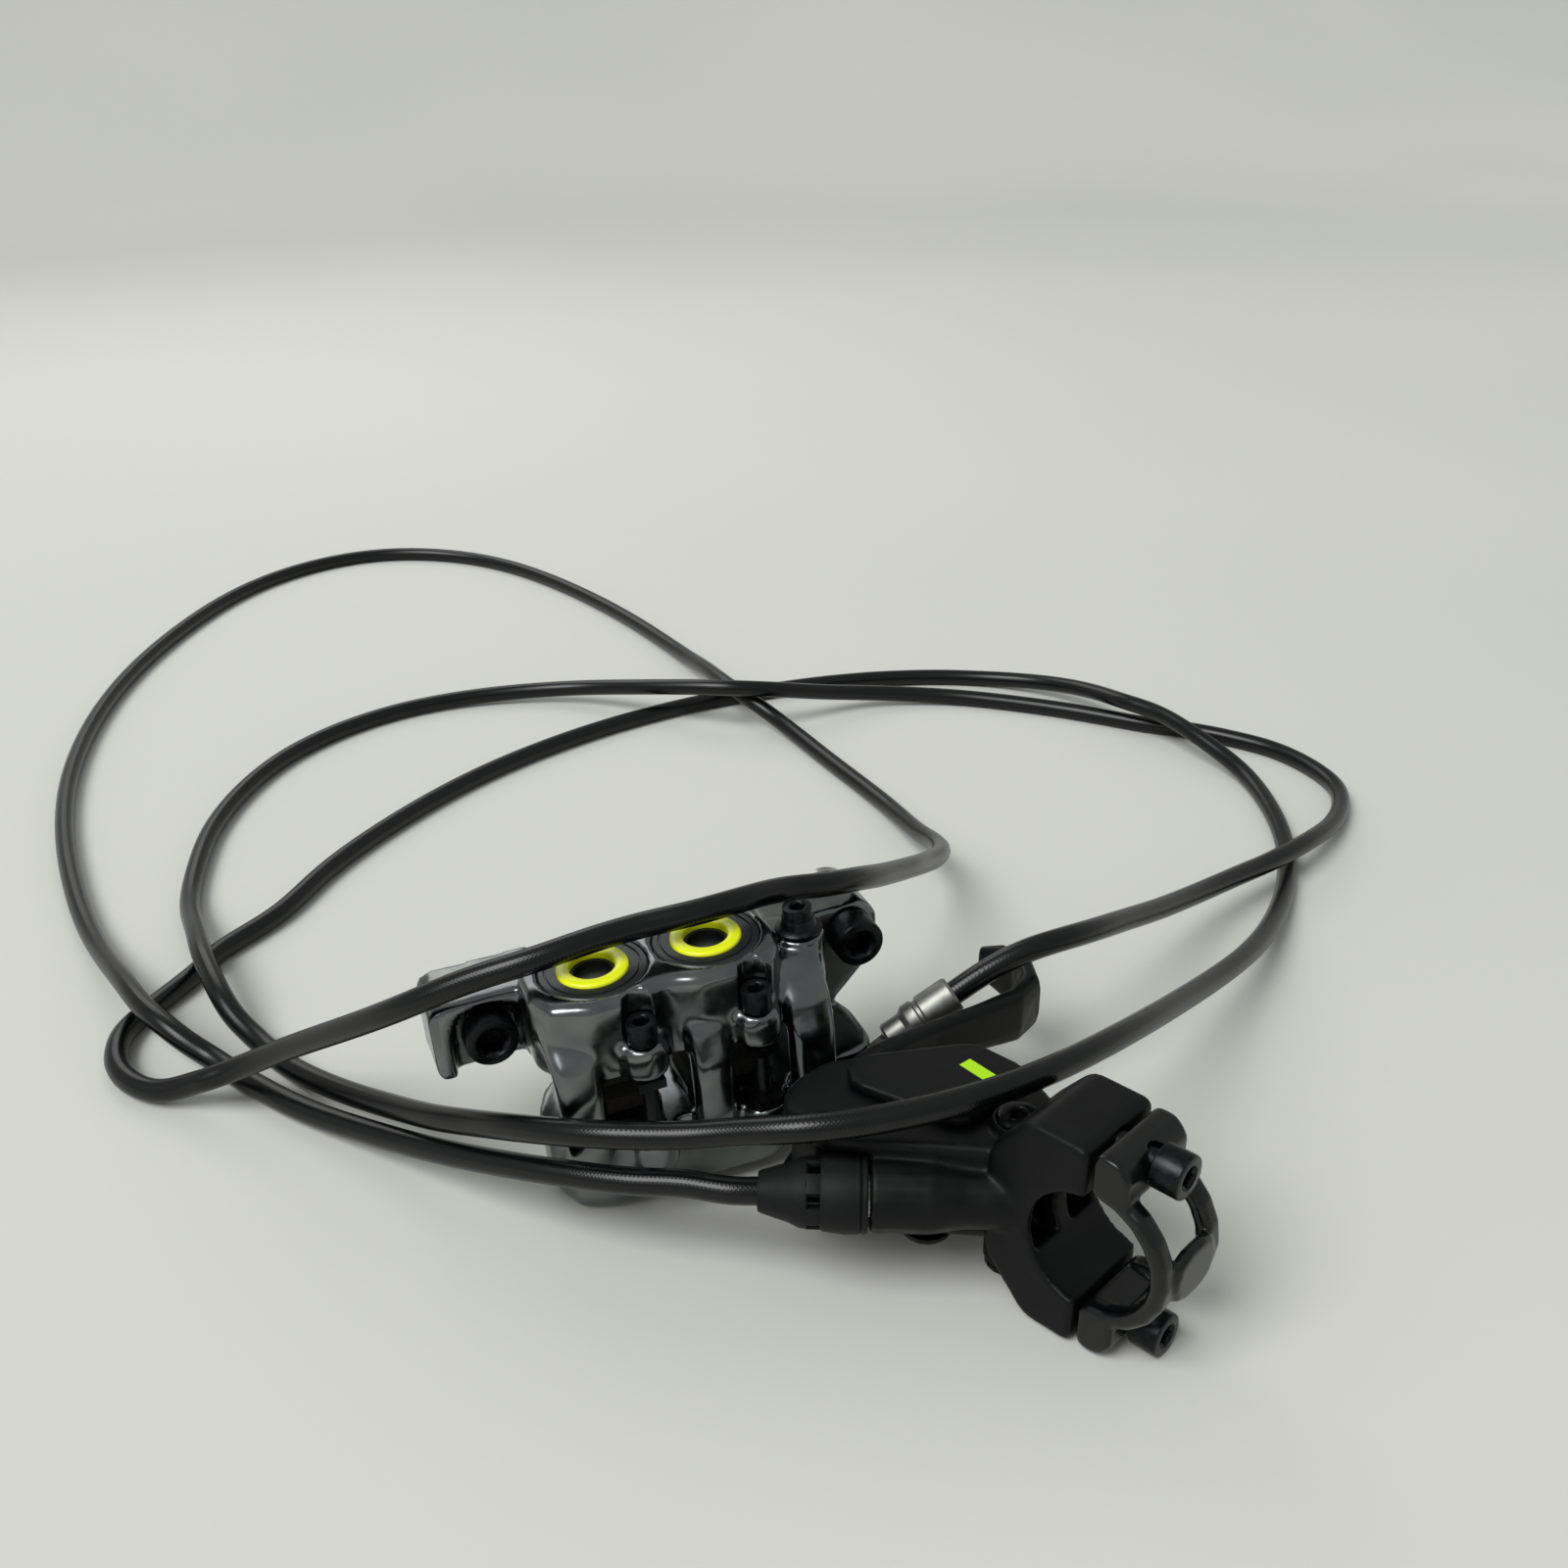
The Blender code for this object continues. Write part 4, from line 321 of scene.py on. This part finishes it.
# The forging's skin waves over about 7 mm, and handling leaves faint smears 2 to 3 mm wide.
smoked, tree, shader = new_material("polished smoked aluminium", {
    "Metallic": 1.0, "Roughness": 0.2, "Base Color": linear("#7C7F82")})
place = add(tree, "TexCoord").outputs["Object"]
waves = add(tree, "TexNoise", values={"Scale": 150.0, "Detail": 1.0}, links={"Vector": place})
add(tree, "ValToRGB", links={"Fac": waves.outputs["Fac"]}, stops=((0.35, "#66696C"), (0.7, "#777A79")),
    into=shader.inputs["Base Color"])
add(tree, "Bump", values={"Strength": 0.12, "Distance": 0.0006}, links={"Height": waves.outputs["Fac"]},
    into=shader.inputs["Normal"])
smears = add(tree, "TexNoise", values={"Scale": 420.0, "Detail": 4.0}, links={"Vector": place})
add(tree, "MapRange", values={"From Min": 0.35, "From Max": 0.75, "To Min": 0.16, "To Max": 0.28},
    links={"Value": smears.outputs["Fac"]}, into=shader.inputs["Roughness"])

# The cutter leaves a satin face with fine lines 0.3 mm apart.
milled, tree, shader = new_material("milled smoked aluminium", {
    "Metallic": 1.0, "Roughness": 0.38, "Base Color": linear("#7D807F"), "Anisotropic": 0.4})
place = add(tree, "TexCoord").outputs["Object"]
cuts = add(tree, "TexWave", {"bands_direction": "Z"}, {"Scale": 1100.0, "Distortion": 1.2, "Detail": 2.0},
           {"Vector": place})
add(tree, "Bump", values={"Strength": 0.12, "Distance": 0.00005}, links={"Height": cuts.outputs["Fac"]},
    into=shader.inputs["Normal"])

to_caliper = CALIPER.inverted()
BORES_X, BORE_Y = (-0.0175, 0.0045), -0.021
PIN_SHIFT, PIN_Y = 0.0045, -0.0345
BOLT_X, BOLT_Z = 0.037, 0.010
BLEED_X, BLEED_Y = 0.0226, -0.0225
EAR_START = 0.027


def machined(co):
    """Whether a spot lies on a face or in a bore that the cutter left sharp."""
    x, y, z = to_caliper @ co
    if y > -0.0016 or (abs(z) < 0.0082 and abs(x) < EAR_START and y > -0.034):
        return True
    if any(math.hypot(x - bore, y - BORE_Y) < 0.0112 and abs(z) > 0.0165 for bore in BORES_X):
        return True
    if any(math.hypot(x - bore - PIN_SHIFT, y - PIN_Y) < 0.0034 for bore in BORES_X):
        return True
    if abs(x) > EAR_START and math.hypot(abs(x) - BOLT_X, z - BOLT_Z) < 0.0058 and y < -0.006:
        return True
    return math.hypot(x - BLEED_X, y - BLEED_Y) < 0.0055 and z > 0.0185


caliper = relaxed("caliper_body", "caliper_forging", "housing", smoked,
                  0.0005, 36, machined)
caliper.data.materials.append(milled)
outward = CALIPER.to_3x3() @ Vector((0, -1, 0))
for face in caliper.data.polygons:
    spot = to_caliper @ face.center
    if abs(spot.x) > EAR_START and face.normal.dot(outward) > 0.985 and -0.0155 < spot.y < -0.0095:
        face.material_index = 1


# Bore caps: turned aluminium, anodised black, screwed into the forging. Each has a fine groove
# near its edge, a seat for the coloured ring and a well in the middle.
def spun(name, profile, place, axis, body, material, replaced=(), sides=64, closed=False, crease=30):
    """A turned piece: a profile of (radius, height) spun about an axis that starts at its place."""
    bm = bmesh.new()
    verts = [bm.verts.new((radius, 0, height)) for radius, height in profile]
    pairs = list(zip(verts, verts[1:])) + ([(verts[-1], verts[0])] if closed else [])
    edges = [bm.edges.new(pair) for pair in pairs]
    bmesh.ops.spin(bm, geom=verts + edges, cent=(0, 0, 0), axis=(0, 0, 1), angle=2 * math.pi,
                   steps=sides, use_merge=True)
    bmesh.ops.remove_doubles(bm, verts=bm.verts, dist=1e-7)
    bmesh.ops.recalc_face_normals(bm, faces=bm.faces)
    turn = Vector((0, 0, 1)).rotation_difference(Vector(axis)).to_matrix().to_4x4()
    bmesh.ops.transform(bm, matrix=Matrix.Translation(place) @ turn, verts=bm.verts)
    finished(bm, name, body, material, replaced, crease)


def finished(bm, name, body, material, replaced=(), crease=30):
    """Turns a mesh into a piece that rides on its body and stands for its plain solids."""
    mesh = bpy.data.meshes.new(name)
    bm.to_mesh(mesh)
    bm.free()
    mesh.shade_smooth()
    mesh.set_sharp_from_angle(angle=math.radians(crease))
    mesh.materials.append(material)
    made = bpy.data.objects.new(name, mesh)
    bpy.context.collection.objects.link(made)
    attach(made, body)
    if replaced:
        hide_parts(*replaced)


# Anodising gives an even satin black. Its specks are too fine to show, so they are drawn at 0.4 mm.
black_alloy, tree, shader = new_material("black anodised aluminium", {
    "Metallic": 0.75, "Roughness": 0.36, "Base Color": linear("#3B3D3F")})
place = add(tree, "TexCoord").outputs["Object"]
speck = add(tree, "TexNoise", values={"Scale": 2600.0, "Detail": 2.0}, links={"Vector": place})
add(tree, "ValToRGB", links={"Fac": speck.outputs["Fac"]}, stops=((0.3, "#36383A"), (0.8, "#424446")),
    into=shader.inputs["Base Color"])
add(tree, "Bump", values={"Strength": 0.06, "Distance": 0.00004}, links={"Height": speck.outputs["Fac"]},
    into=shader.inputs["Normal"])
# Lacquer over the ring gives a strong flat yellow with an orange peel of 0.7 mm.
neon, tree, shader = new_material("neon yellow lacquer", {
    "Base Color": linear("#E6F00A"), "Roughness": 0.38, "IOR": 1.5, "Coat Weight": 0.2,
    "Coat Roughness": 0.15})
place = add(tree, "TexCoord").outputs["Object"]
peel = add(tree, "TexNoise", values={"Scale": 1500.0, "Detail": 2.0}, links={"Vector": place})
add(tree, "Bump", values={"Strength": 0.05, "Distance": 0.00005}, links={"Height": peel.outputs["Fac"]},
    into=shader.inputs["Normal"])
up = CALIPER.to_3x3() @ Vector((0, 0, 1))
CAP_TOP = 0.0233
for side, bore_x in zip(("left", "right"), BORES_X):
    foot = CALIPER @ Vector((bore_x, BORE_Y, 0))
    low, t = CAP_TOP - 0.0033, CAP_TOP
    spun("threaded_cap_" + side, [
        (0, low), (0.0101, low), (0.0102, t - 0.0003), (0.0099, t), (0.0090, t), (0.0089, t - 0.0003),
        (0.0086, t - 0.0003), (0.0085, t), (0.0069, t), (0.0069, t - 0.0010), (0.0037, t - 0.0010),
        (0.0036, t - 0.0023), (0, t - 0.0023)], foot, up, "housing", black_alloy,
        ["bore_cap_" + side], 96)
    low, t = CAP_TOP - 0.0009, CAP_TOP + 0.0006
    spun("colour_ring_" + side, [
        (0.00425, low), (0.0068, low), (0.0068, t - 0.0005), (0.00665, t - 0.00015), (0.0063, t),
        (0.00475, t), (0.0044, t - 0.00015), (0.00425, t - 0.0005)], foot, up,
        "housing", neon, ["cap_ring_" + side], 96, closed=True, crease=50)


# Screws of the caliper: cap screws with hexagon sockets, in black oxide steel with a trace of oil.
def cap_screw(name, base, axis, head, height, shank, length, socket, replaced, material,
              hexagon=True):
    """A cap screw: base is the seat under its head and axis points out through the head.

    Its socket is a hexagon, or else it has six lobes.
    """
    edge = head * 0.10
    bm = bmesh.new()
    outline = [(0, -length), (shank, -length), (shank, 0), (head * 0.97, 0), (head, head * 0.04),
               (head, height - edge), (head - edge * 0.35, height - edge * 0.3), (head - edge, height)]
    rim = socket * 1.12
    outline += [(rim, height), (socket, height - (rim - socket))]
    verts = [bm.verts.new((radius, 0, z)) for radius, z in outline]
    edges = [bm.edges.new(pair) for pair in zip(verts, verts[1:])]
    bmesh.ops.spin(bm, geom=verts + edges, cent=(0, 0, 0), axis=(0, 0, 1), angle=2 * math.pi,
                   steps=48, use_merge=True)
    bmesh.ops.remove_doubles(bm, verts=bm.verts, dist=1e-7)
    mouth = [e for e in bm.edges if e.is_boundary]
    drawn = bmesh.ops.extrude_edge_only(bm, edges=mouth)
    inner = [g for g in drawn["geom"] if isinstance(g, bmesh.types.BMVert)]
    for vert in inner:
        angle = math.atan2(vert.co.y, vert.co.x)
        if hexagon:
            reach = math.cos(math.pi / 6) / math.cos((angle % (math.pi / 3)) - math.pi / 6)
        else:
            reach = 0.86 + 0.14 * math.cos(6 * angle)
        vert.co.x, vert.co.y = socket * reach * math.cos(angle), socket * reach * math.sin(angle)
        vert.co.z -= height * 0.06
    wall = [g for g in drawn["geom"]
            if isinstance(g, bmesh.types.BMEdge) and all(v in inner for v in g.verts)]
    deep = bmesh.ops.extrude_edge_only(bm, edges=wall)
    floor_verts = [g for g in deep["geom"] if isinstance(g, bmesh.types.BMVert)]
    bmesh.ops.translate(bm, verts=floor_verts, vec=(0, 0, -height * 0.5))
    ends = [g for g in deep["geom"]
            if isinstance(g, bmesh.types.BMEdge) and all(v in floor_verts for v in g.verts)]
    bmesh.ops.contextual_create(bm, geom=ends)
    bmesh.ops.recalc_face_normals(bm, faces=bm.faces)
    turn = Vector((0, 0, 1)).rotation_difference(Vector(axis)).to_matrix().to_4x4()
    bmesh.ops.transform(bm, matrix=Matrix.Translation(base) @ turn, verts=bm.verts)
    finished(bm, name, "housing", material, replaced, 32)


oiled, tree, shader = new_material("black oxide steel", {
    "Metallic": 0.85, "Roughness": 0.3, "Base Color": linear("#1E1F21")})
# The oil lies in patches of about 1 mm, which shine more than the bare oxide between them.
place = add(tree, "TexCoord").outputs["Object"]
oxide = add(tree, "TexNoise", values={"Scale": 900.0, "Detail": 3.0}, links={"Vector": place})
add(tree, "ValToRGB", links={"Fac": oxide.outputs["Fac"]}, stops=((0.35, "#18191B"), (0.75, "#26272A")),
    into=shader.inputs["Base Color"])
add(tree, "MapRange", values={"From Min": 0.3, "From Max": 0.7, "To Min": 0.22, "To Max": 0.42},
    links={"Value": oxide.outputs["Fac"]}, into=shader.inputs["Roughness"])
front = CALIPER.to_3x3() @ Vector((0, -1, 0))
for side, x, seat in (("left", -BOLT_X, -0.0108), ("right", BOLT_X, -0.0128)):
    cap_screw("mounting_screw_" + side, CALIPER @ Vector((x, seat, BOLT_Z)), front, 0.0050, 0.0060, 0.0029,
              0.0155, 0.0029, ["mount_bolt_" + side], oiled)
for side, bore_x in zip(("left", "right"), BORES_X):
    cap_screw("pad_pin_" + side + "_turned", CALIPER @ Vector((bore_x + PIN_SHIFT, PIN_Y, 0.0143)), up,
              0.0028, 0.0044, 0.0015, 0.0290, 0.00155, ["pad_pin_" + side], oiled)

# Bleed screw of the caliper: a black oxide steel cone with a collar, screwed into its boss.
seat = 0.0203
cap_screw("caliper_bleed_cone", CALIPER @ Vector((BLEED_X, BLEED_Y, seat + 0.0008)), up, 0.0029, 0.0044,
          0.0023, 0.0090, 0.0015, ["caliper_bleed_screw"], oiled)
spun("caliper_bleed_collar", [
    (0.0022, seat), (0.0045, seat), (0.0046, seat + 0.0002), (0.0046, seat + 0.0007),
    (0.0043, seat + 0.0010), (0.0036, seat + 0.0013), (0.0031, seat + 0.0030), (0.0024, seat + 0.0030)],
    CALIPER @ Vector((BLEED_X, BLEED_Y, 0)), up, "housing", oiled, [], 48, closed=True)

# Mount washers, hose fittings and the lever's pin, rod and spring: bright steel, lightly worn.
bright, tree, shader = new_material("bright plated steel", {
    "Metallic": 1.0, "Roughness": 0.26, "Base Color": linear("#B4B4AE")})
# Wear dulls it in patches of 1 to 2 mm.
place = add(tree, "TexCoord").outputs["Object"]
wear = add(tree, "TexNoise", values={"Scale": 700.0, "Detail": 4.0}, links={"Vector": place})
add(tree, "ValToRGB", links={"Fac": wear.outputs["Fac"]}, stops=((0.3, "#BDBDB7"), (0.75, "#9C9C96")),
    into=shader.inputs["Base Color"])
add(tree, "MapRange", values={"From Min": 0.3, "From Max": 0.75, "To Min": 0.18, "To Max": 0.40},
    links={"Value": wear.outputs["Fac"]}, into=shader.inputs["Roughness"])
for side, x in (("left", -BOLT_X), ("right", BOLT_X)):
    spun("plated_washer_" + side, [
        (0.0033, 0.0003), (0.0068, 0.0003), (0.0070, 0.0005), (0.0070, 0.0017), (0.0068, 0.0019),
        (0.0033, 0.0019)], CALIPER @ Vector((x, 0, BOLT_Z)), -front, "housing", bright,
        ["mount_washer_" + side], 64, closed=True)
# The ferrule is passivated rather than plated, so it is duller than the fittings beside it,
# with stains about 2 mm wide.
dull, tree, shader = new_material("passivated crimped steel", {
    "Metallic": 1.0, "Roughness": 0.46, "Base Color": linear("#8A8B87")})
place = add(tree, "TexCoord").outputs["Object"]
stain = add(tree, "TexNoise", values={"Scale": 500.0, "Detail": 4.0}, links={"Vector": place})
add(tree, "ValToRGB", links={"Fac": stain.outputs["Fac"]}, stops=((0.3, "#94958F"), (0.75, "#787974")),
    into=shader.inputs["Base Color"])
ferrule_axis = CALIPER.to_3x3() @ FERRULE_AXIS
neck, end, r = 0.0052, FERRULE_LENGTH, 0.0039
spun("crimped_ferrule", [
    (0, 0), (0.0026, 0), (0.0030, 0.0005), (0.0030, neck - 0.0008), (0.0033, neck - 0.0003),
    (r - 0.0002, neck + 0.0002), (r, neck + 0.0006), (r, neck + 0.0026), (r - 0.0005, neck + 0.0030),
    (r - 0.0005, neck + 0.0036), (r, neck + 0.0040), (r, end - 0.0006), (r - 0.0004, end),
    (0.0029, end), (0.0029, end - 0.0060), (0, end - 0.0060)],
    CALIPER @ FERRULE_START, ferrule_axis, "housing", dull, ["hose_ferrule"], 64)
for node in ("hose_union", "banjo_bolt", "lever_pivot_pin", "push_rod", "piston_stop_ring", "return_spring",
             "hose_nut"):
    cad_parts[node].material_slots[0].material = bright

# Pads, pistons and seals: black oxide carriers, pressed linings, resin pistons in rubber seals.
# The lining's grit is 0.6 mm wide and the resin's filler 0.7 mm. The rubber's bloom and the dull
# patches of the brass are about 1 mm wide.
lining, tree, shader = new_material("pressed friction compound", {
    "Roughness": 0.92, "Base Color": linear("#1F1D1B")})
place = add(tree, "TexCoord").outputs["Object"]
grit = add(tree, "TexVoronoi", values={"Scale": 1600.0}, links={"Vector": place})
add(tree, "ValToRGB", links={"Fac": grit.outputs["Distance"]}, stops=((0.1, "#161514"), (0.7, "#2B2825")),
    into=shader.inputs["Base Color"])
add(tree, "Bump", values={"Strength": 0.4, "Distance": 0.0001}, links={"Height": grit.outputs["Distance"]},
    into=shader.inputs["Normal"])
resin, tree, shader = new_material("moulded phenolic resin", {
    "Roughness": 0.45, "Base Color": linear("#6E6A62")})
place = add(tree, "TexCoord").outputs["Object"]
filler = add(tree, "TexNoise", values={"Scale": 1400.0, "Detail": 3.0}, links={"Vector": place})
add(tree, "ValToRGB", links={"Fac": filler.outputs["Fac"]}, stops=((0.3, "#5E5A53"), (0.7, "#7C776D")),
    into=shader.inputs["Base Color"])
rubber, tree, shader = new_material("black nitrile rubber", {
    "Roughness": 0.58, "Base Color": linear("#08090A"), "Specular IOR Level": 0.2})
place = add(tree, "TexCoord").outputs["Object"]
bloom = add(tree, "TexNoise", values={"Scale": 800.0, "Detail": 3.0}, links={"Vector": place})
add(tree, "ValToRGB", links={"Fac": bloom.outputs["Fac"]}, stops=((0.3, "#060708"), (0.75, "#0C0D0E")),
    into=shader.inputs["Base Color"])
add(tree, "Bump", values={"Strength": 0.08, "Distance": 0.0001}, links={"Height": bloom.outputs["Fac"]},
    into=shader.inputs["Normal"])
brass, tree, shader = new_material("turned brass", {
    "Metallic": 1.0, "Roughness": 0.32, "Base Color": linear("#B5935A")})
place = add(tree, "TexCoord").outputs["Object"]
dulled = add(tree, "TexNoise", values={"Scale": 900.0, "Detail": 3.0}, links={"Vector": place})
add(tree, "ValToRGB", links={"Fac": dulled.outputs["Fac"]}, stops=((0.3, "#BE9C62"), (0.75, "#8F7347")),
    into=shader.inputs["Base Color"])
for pad in ("upper_left", "upper_right", "lower_left", "lower_right"):
    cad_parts["pad_plate_" + pad].material_slots[0].material = oiled
    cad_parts["pad_lining_" + pad].material_slots[0].material = lining
    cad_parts["piston_" + pad].material_slots[0].material = resin
    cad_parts["piston_seal_" + pad].material_slots[0].material = rubber
for node in ("pivot_bush_upper", "pivot_bush_lower"):
    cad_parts[node].material_slots[0].material = resin
for node in ("reservoir_diaphragm", "primary_cup", "secondary_cup"):
    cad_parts[node].material_slots[0].material = rubber
for node in ("banjo_seal_upper", "banjo_seal_lower", "hose_olive", "hose_insert"):
    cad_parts[node].material_slots[0].material = brass
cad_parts["master_piston"].material_slots[0].material = black_alloy


# Master cylinder body: a fibre-filled nylon moulding with a fine spark-eroded grain, matt black.
grained, tree, shader = new_material("fibre-filled nylon moulding", {
    "Base Color": linear("#050607"), "Roughness": 0.44, "IOR": 1.53, "Specular IOR Level": 0.16})
# The mould's grain is about 0.15 mm; it is drawn at 0.3 mm so that it shows. The rubbed patches
# are about 4 mm wide.
place = add(tree, "TexCoord").outputs["Object"]
grain = add(tree, "TexNoise", values={"Scale": 3300.0, "Detail": 2.0}, links={"Vector": place})
add(tree, "Bump", values={"Strength": 0.16, "Distance": 0.00008}, links={"Height": grain.outputs["Fac"]},
    into=shader.inputs["Normal"])
rubbed = add(tree, "TexNoise", values={"Scale": 240.0, "Detail": 4.0}, links={"Vector": place})
add(tree, "ValToRGB", links={"Fac": rubbed.outputs["Fac"]}, stops=((0.3, "#040506"), (0.75, "#090A0B")),
    into=shader.inputs["Base Color"])
add(tree, "MapRange", values={"From Min": 0.3, "From Max": 0.7, "To Min": 0.36, "To Max": 0.56},
    links={"Value": rubbed.outputs["Fac"]}, into=shader.inputs["Roughness"])
relaxed("master_cylinder_body", "cylinder_moulding", "housing", grained,
        0.00045, 8)
# The cover carries one plain lime bar, printed flat on it, in place of the photographed graphic.
printed = grained.copy()
printed.name = "fibre-filled nylon moulding with lime print"
tree = printed.node_tree
shader = tree.nodes["Principled BSDF"]
black = shader.inputs["Base Color"].links[0].from_socket
bar_place = LEVER @ Vector((0.0049, 0.0336, 0.0123))
place = add(tree, "TexCoord").outputs["Object"]
moved = add(tree, "VectorMath", {"operation": "SUBTRACT"}, {1: tuple(bar_place)}, {0: place})
laid = add(tree, "VectorRotate", {"rotation_type": "Z_AXIS"}, {"Angle": math.radians(6.0) - LEVER_TURN},
           {"Vector": moved.outputs["Vector"]})
parts = add(tree, "SeparateXYZ", links={"Vector": laid.outputs["Vector"]})
inside = []
for axis, reach in (("X", 0.0014), ("Y", 0.0036), ("Z", 0.0004)):
    size = add(tree, "Math", {"operation": "ABSOLUTE"}, links={0: parts.outputs[axis]})
    inside.append(add(tree, "Math", {"operation": "LESS_THAN"}, {1: reach}, {0: size.outputs["Value"]}))
both = add(tree, "Math", {"operation": "MULTIPLY"},
           links={0: inside[0].outputs["Value"], 1: inside[1].outputs["Value"]})
mask = add(tree, "Math", {"operation": "MULTIPLY"},
           links={0: both.outputs["Value"], 1: inside[2].outputs["Value"]})
ink = add(tree, "Mix", {"data_type": "RGBA"}, links={0: mask.outputs["Value"], 6: black})
ink.inputs[7].default_value = linear("#A5DC1E")
tree.links.new(ink.outputs[2], shader.inputs["Base Color"])
relaxed("reservoir_cover", "cover_moulding", "housing", printed,
        0.0002, 3)
# The clamp's thin hoops come out of a polished mould, so they shine more than the body does.
glossy = grained.copy()
glossy.name = "polished nylon moulding"
tree = glossy.node_tree
shader = tree.nodes["Principled BSDF"]
tree.links.remove(shader.inputs["Roughness"].links[0])
shader.inputs["Roughness"].default_value = 0.24
shader.inputs["Specular IOR Level"].default_value = 0.35
relaxed("handlebar_clamp", "clamp_moulding", "housing", glossy,
        0.0003, 22)
for node in ("clamp_side_plug", "lower_plug"):
    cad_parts[node].material_slots[0].material = grained

# Lever blade: forged aluminium with a satin black coat, bored for its bushes. The eye round the
# pivot keeps its crisp edges, and the rest is rounded as the die left it.
PIVOT = LEVER @ Vector((-0.0170, 0.0500, 0.0))
EYE_RADIUS = 0.0085
satin, tree, shader = new_material("satin black coated aluminium", {
    "Base Color": linear("#040506"), "Roughness": 0.34, "IOR": 1.5, "Specular IOR Level": 0.22})
# Fingers rub the coat in patches of about 3 mm.
place = add(tree, "TexCoord").outputs["Object"]
touched = add(tree, "TexNoise", values={"Scale": 300.0, "Detail": 4.0}, links={"Vector": place})
add(tree, "ValToRGB", links={"Fac": touched.outputs["Fac"]}, stops=((0.3, "#030405"), (0.75, "#08090A")),
    into=shader.inputs["Base Color"])
add(tree, "MapRange", values={"From Min": 0.3, "From Max": 0.7, "To Min": 0.3, "To Max": 0.5},
    links={"Value": touched.outputs["Fac"]}, into=shader.inputs["Roughness"])
relaxed("lever_blade", "blade_forging", "lever", satin,
        0.0003, 22,
        lambda co: math.hypot(co.x - PIVOT.x, co.y - PIVOT.y) < EYE_RADIUS)
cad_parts["reach_adjust_screw"].material_slots[0].material = oiled

# Sleeve over the hose nut: soft rubber pushed on from the hose's side, with a cone in front, a
# slotted band whose six ribs carry it, and a ringed skirt over the nut.
start, r, wide = BARREL_LENGTH + 0.0003, 0.0068, HOSE_RADIUS + 0.0004
tip = start + SLEEVE_LENGTH
along_barrel = LEVER.to_3x3() @ BARREL_DIRECTION
sleeve_root = LEVER @ BARREL_ROOT
spun("soft_sleeve", [
    (0.0049, start), (r - 0.0003, start), (r, start + 0.0003), (r, start + 0.0009),
    (r - 0.0003, start + 0.0012), (r, start + 0.0015), (r + 0.0001, start + 0.0040),
    (r - 0.0003, start + 0.0076), (r - 0.0006, start + 0.0082), (0.0050, start + 0.0082)],
    sleeve_root, along_barrel, "housing", rubber, ["nut_sleeve"], 64, closed=True)
spun("sleeve_cone", [
    (0.0046, start + 0.0104), (r - 0.0009, start + 0.0104), (r - 0.0007, start + 0.0107),
    (r - 0.0008, start + 0.0118), (0.0052, start + 0.0135), (0.0037, tip - 0.0006), (0.0034, tip),
    (wide, tip), (wide, start + 0.0120)],
    sleeve_root, along_barrel, "housing", rubber, [], 64, closed=True)
bm = bmesh.new()
turn = Vector((0, 0, 1)).rotation_difference(along_barrel).to_matrix().to_4x4()
for k in range(6):
    rib = bmesh.ops.create_cube(bm, size=1.0)["verts"]
    bmesh.ops.scale(bm, verts=rib, vec=(0.0012, 0.0036, 0.0032))
    bmesh.ops.transform(bm, matrix=Matrix.Translation(sleeve_root) @ turn @ Matrix.Rotation(
        math.radians(60 * k), 4, "Z") @ Matrix.Translation((0.0054, 0, start + 0.0093)), verts=rib)
bmesh.ops.bevel(bm, geom=bm.edges[:], offset=0.00025, offset_type="OFFSET", segments=2, profile=0.5,
                affect="EDGES", material=-1)
finished(bm, "sleeve_ribs", "housing", rubber, [], 40)

# Clamp and reservoir screws: six-lobe sockets in black oxide steel.
bar_front = LEVER.to_3x3() @ Vector((0, -1, 0))
for side, z in (("upper", 0.0168), ("lower", -0.0168)):
    cap_screw("clamp_screw_" + side, LEVER @ Vector((0, -0.0065, z)), bar_front, 0.0040, 0.0052, 0.0022,
              0.0165, 0.0021, ["clamp_bolt_" + side], oiled, hexagon=False)
cap_screw("bleed_screw_flush", LEVER @ Vector((-0.0010, 0.0205, 0.0113)), (0, 0, 1), 0.0037, 0.0016,
          0.0021, 0.0068, 0.0019, ["reservoir_bleed_screw"], oiled, hexagon=False)

low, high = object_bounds()
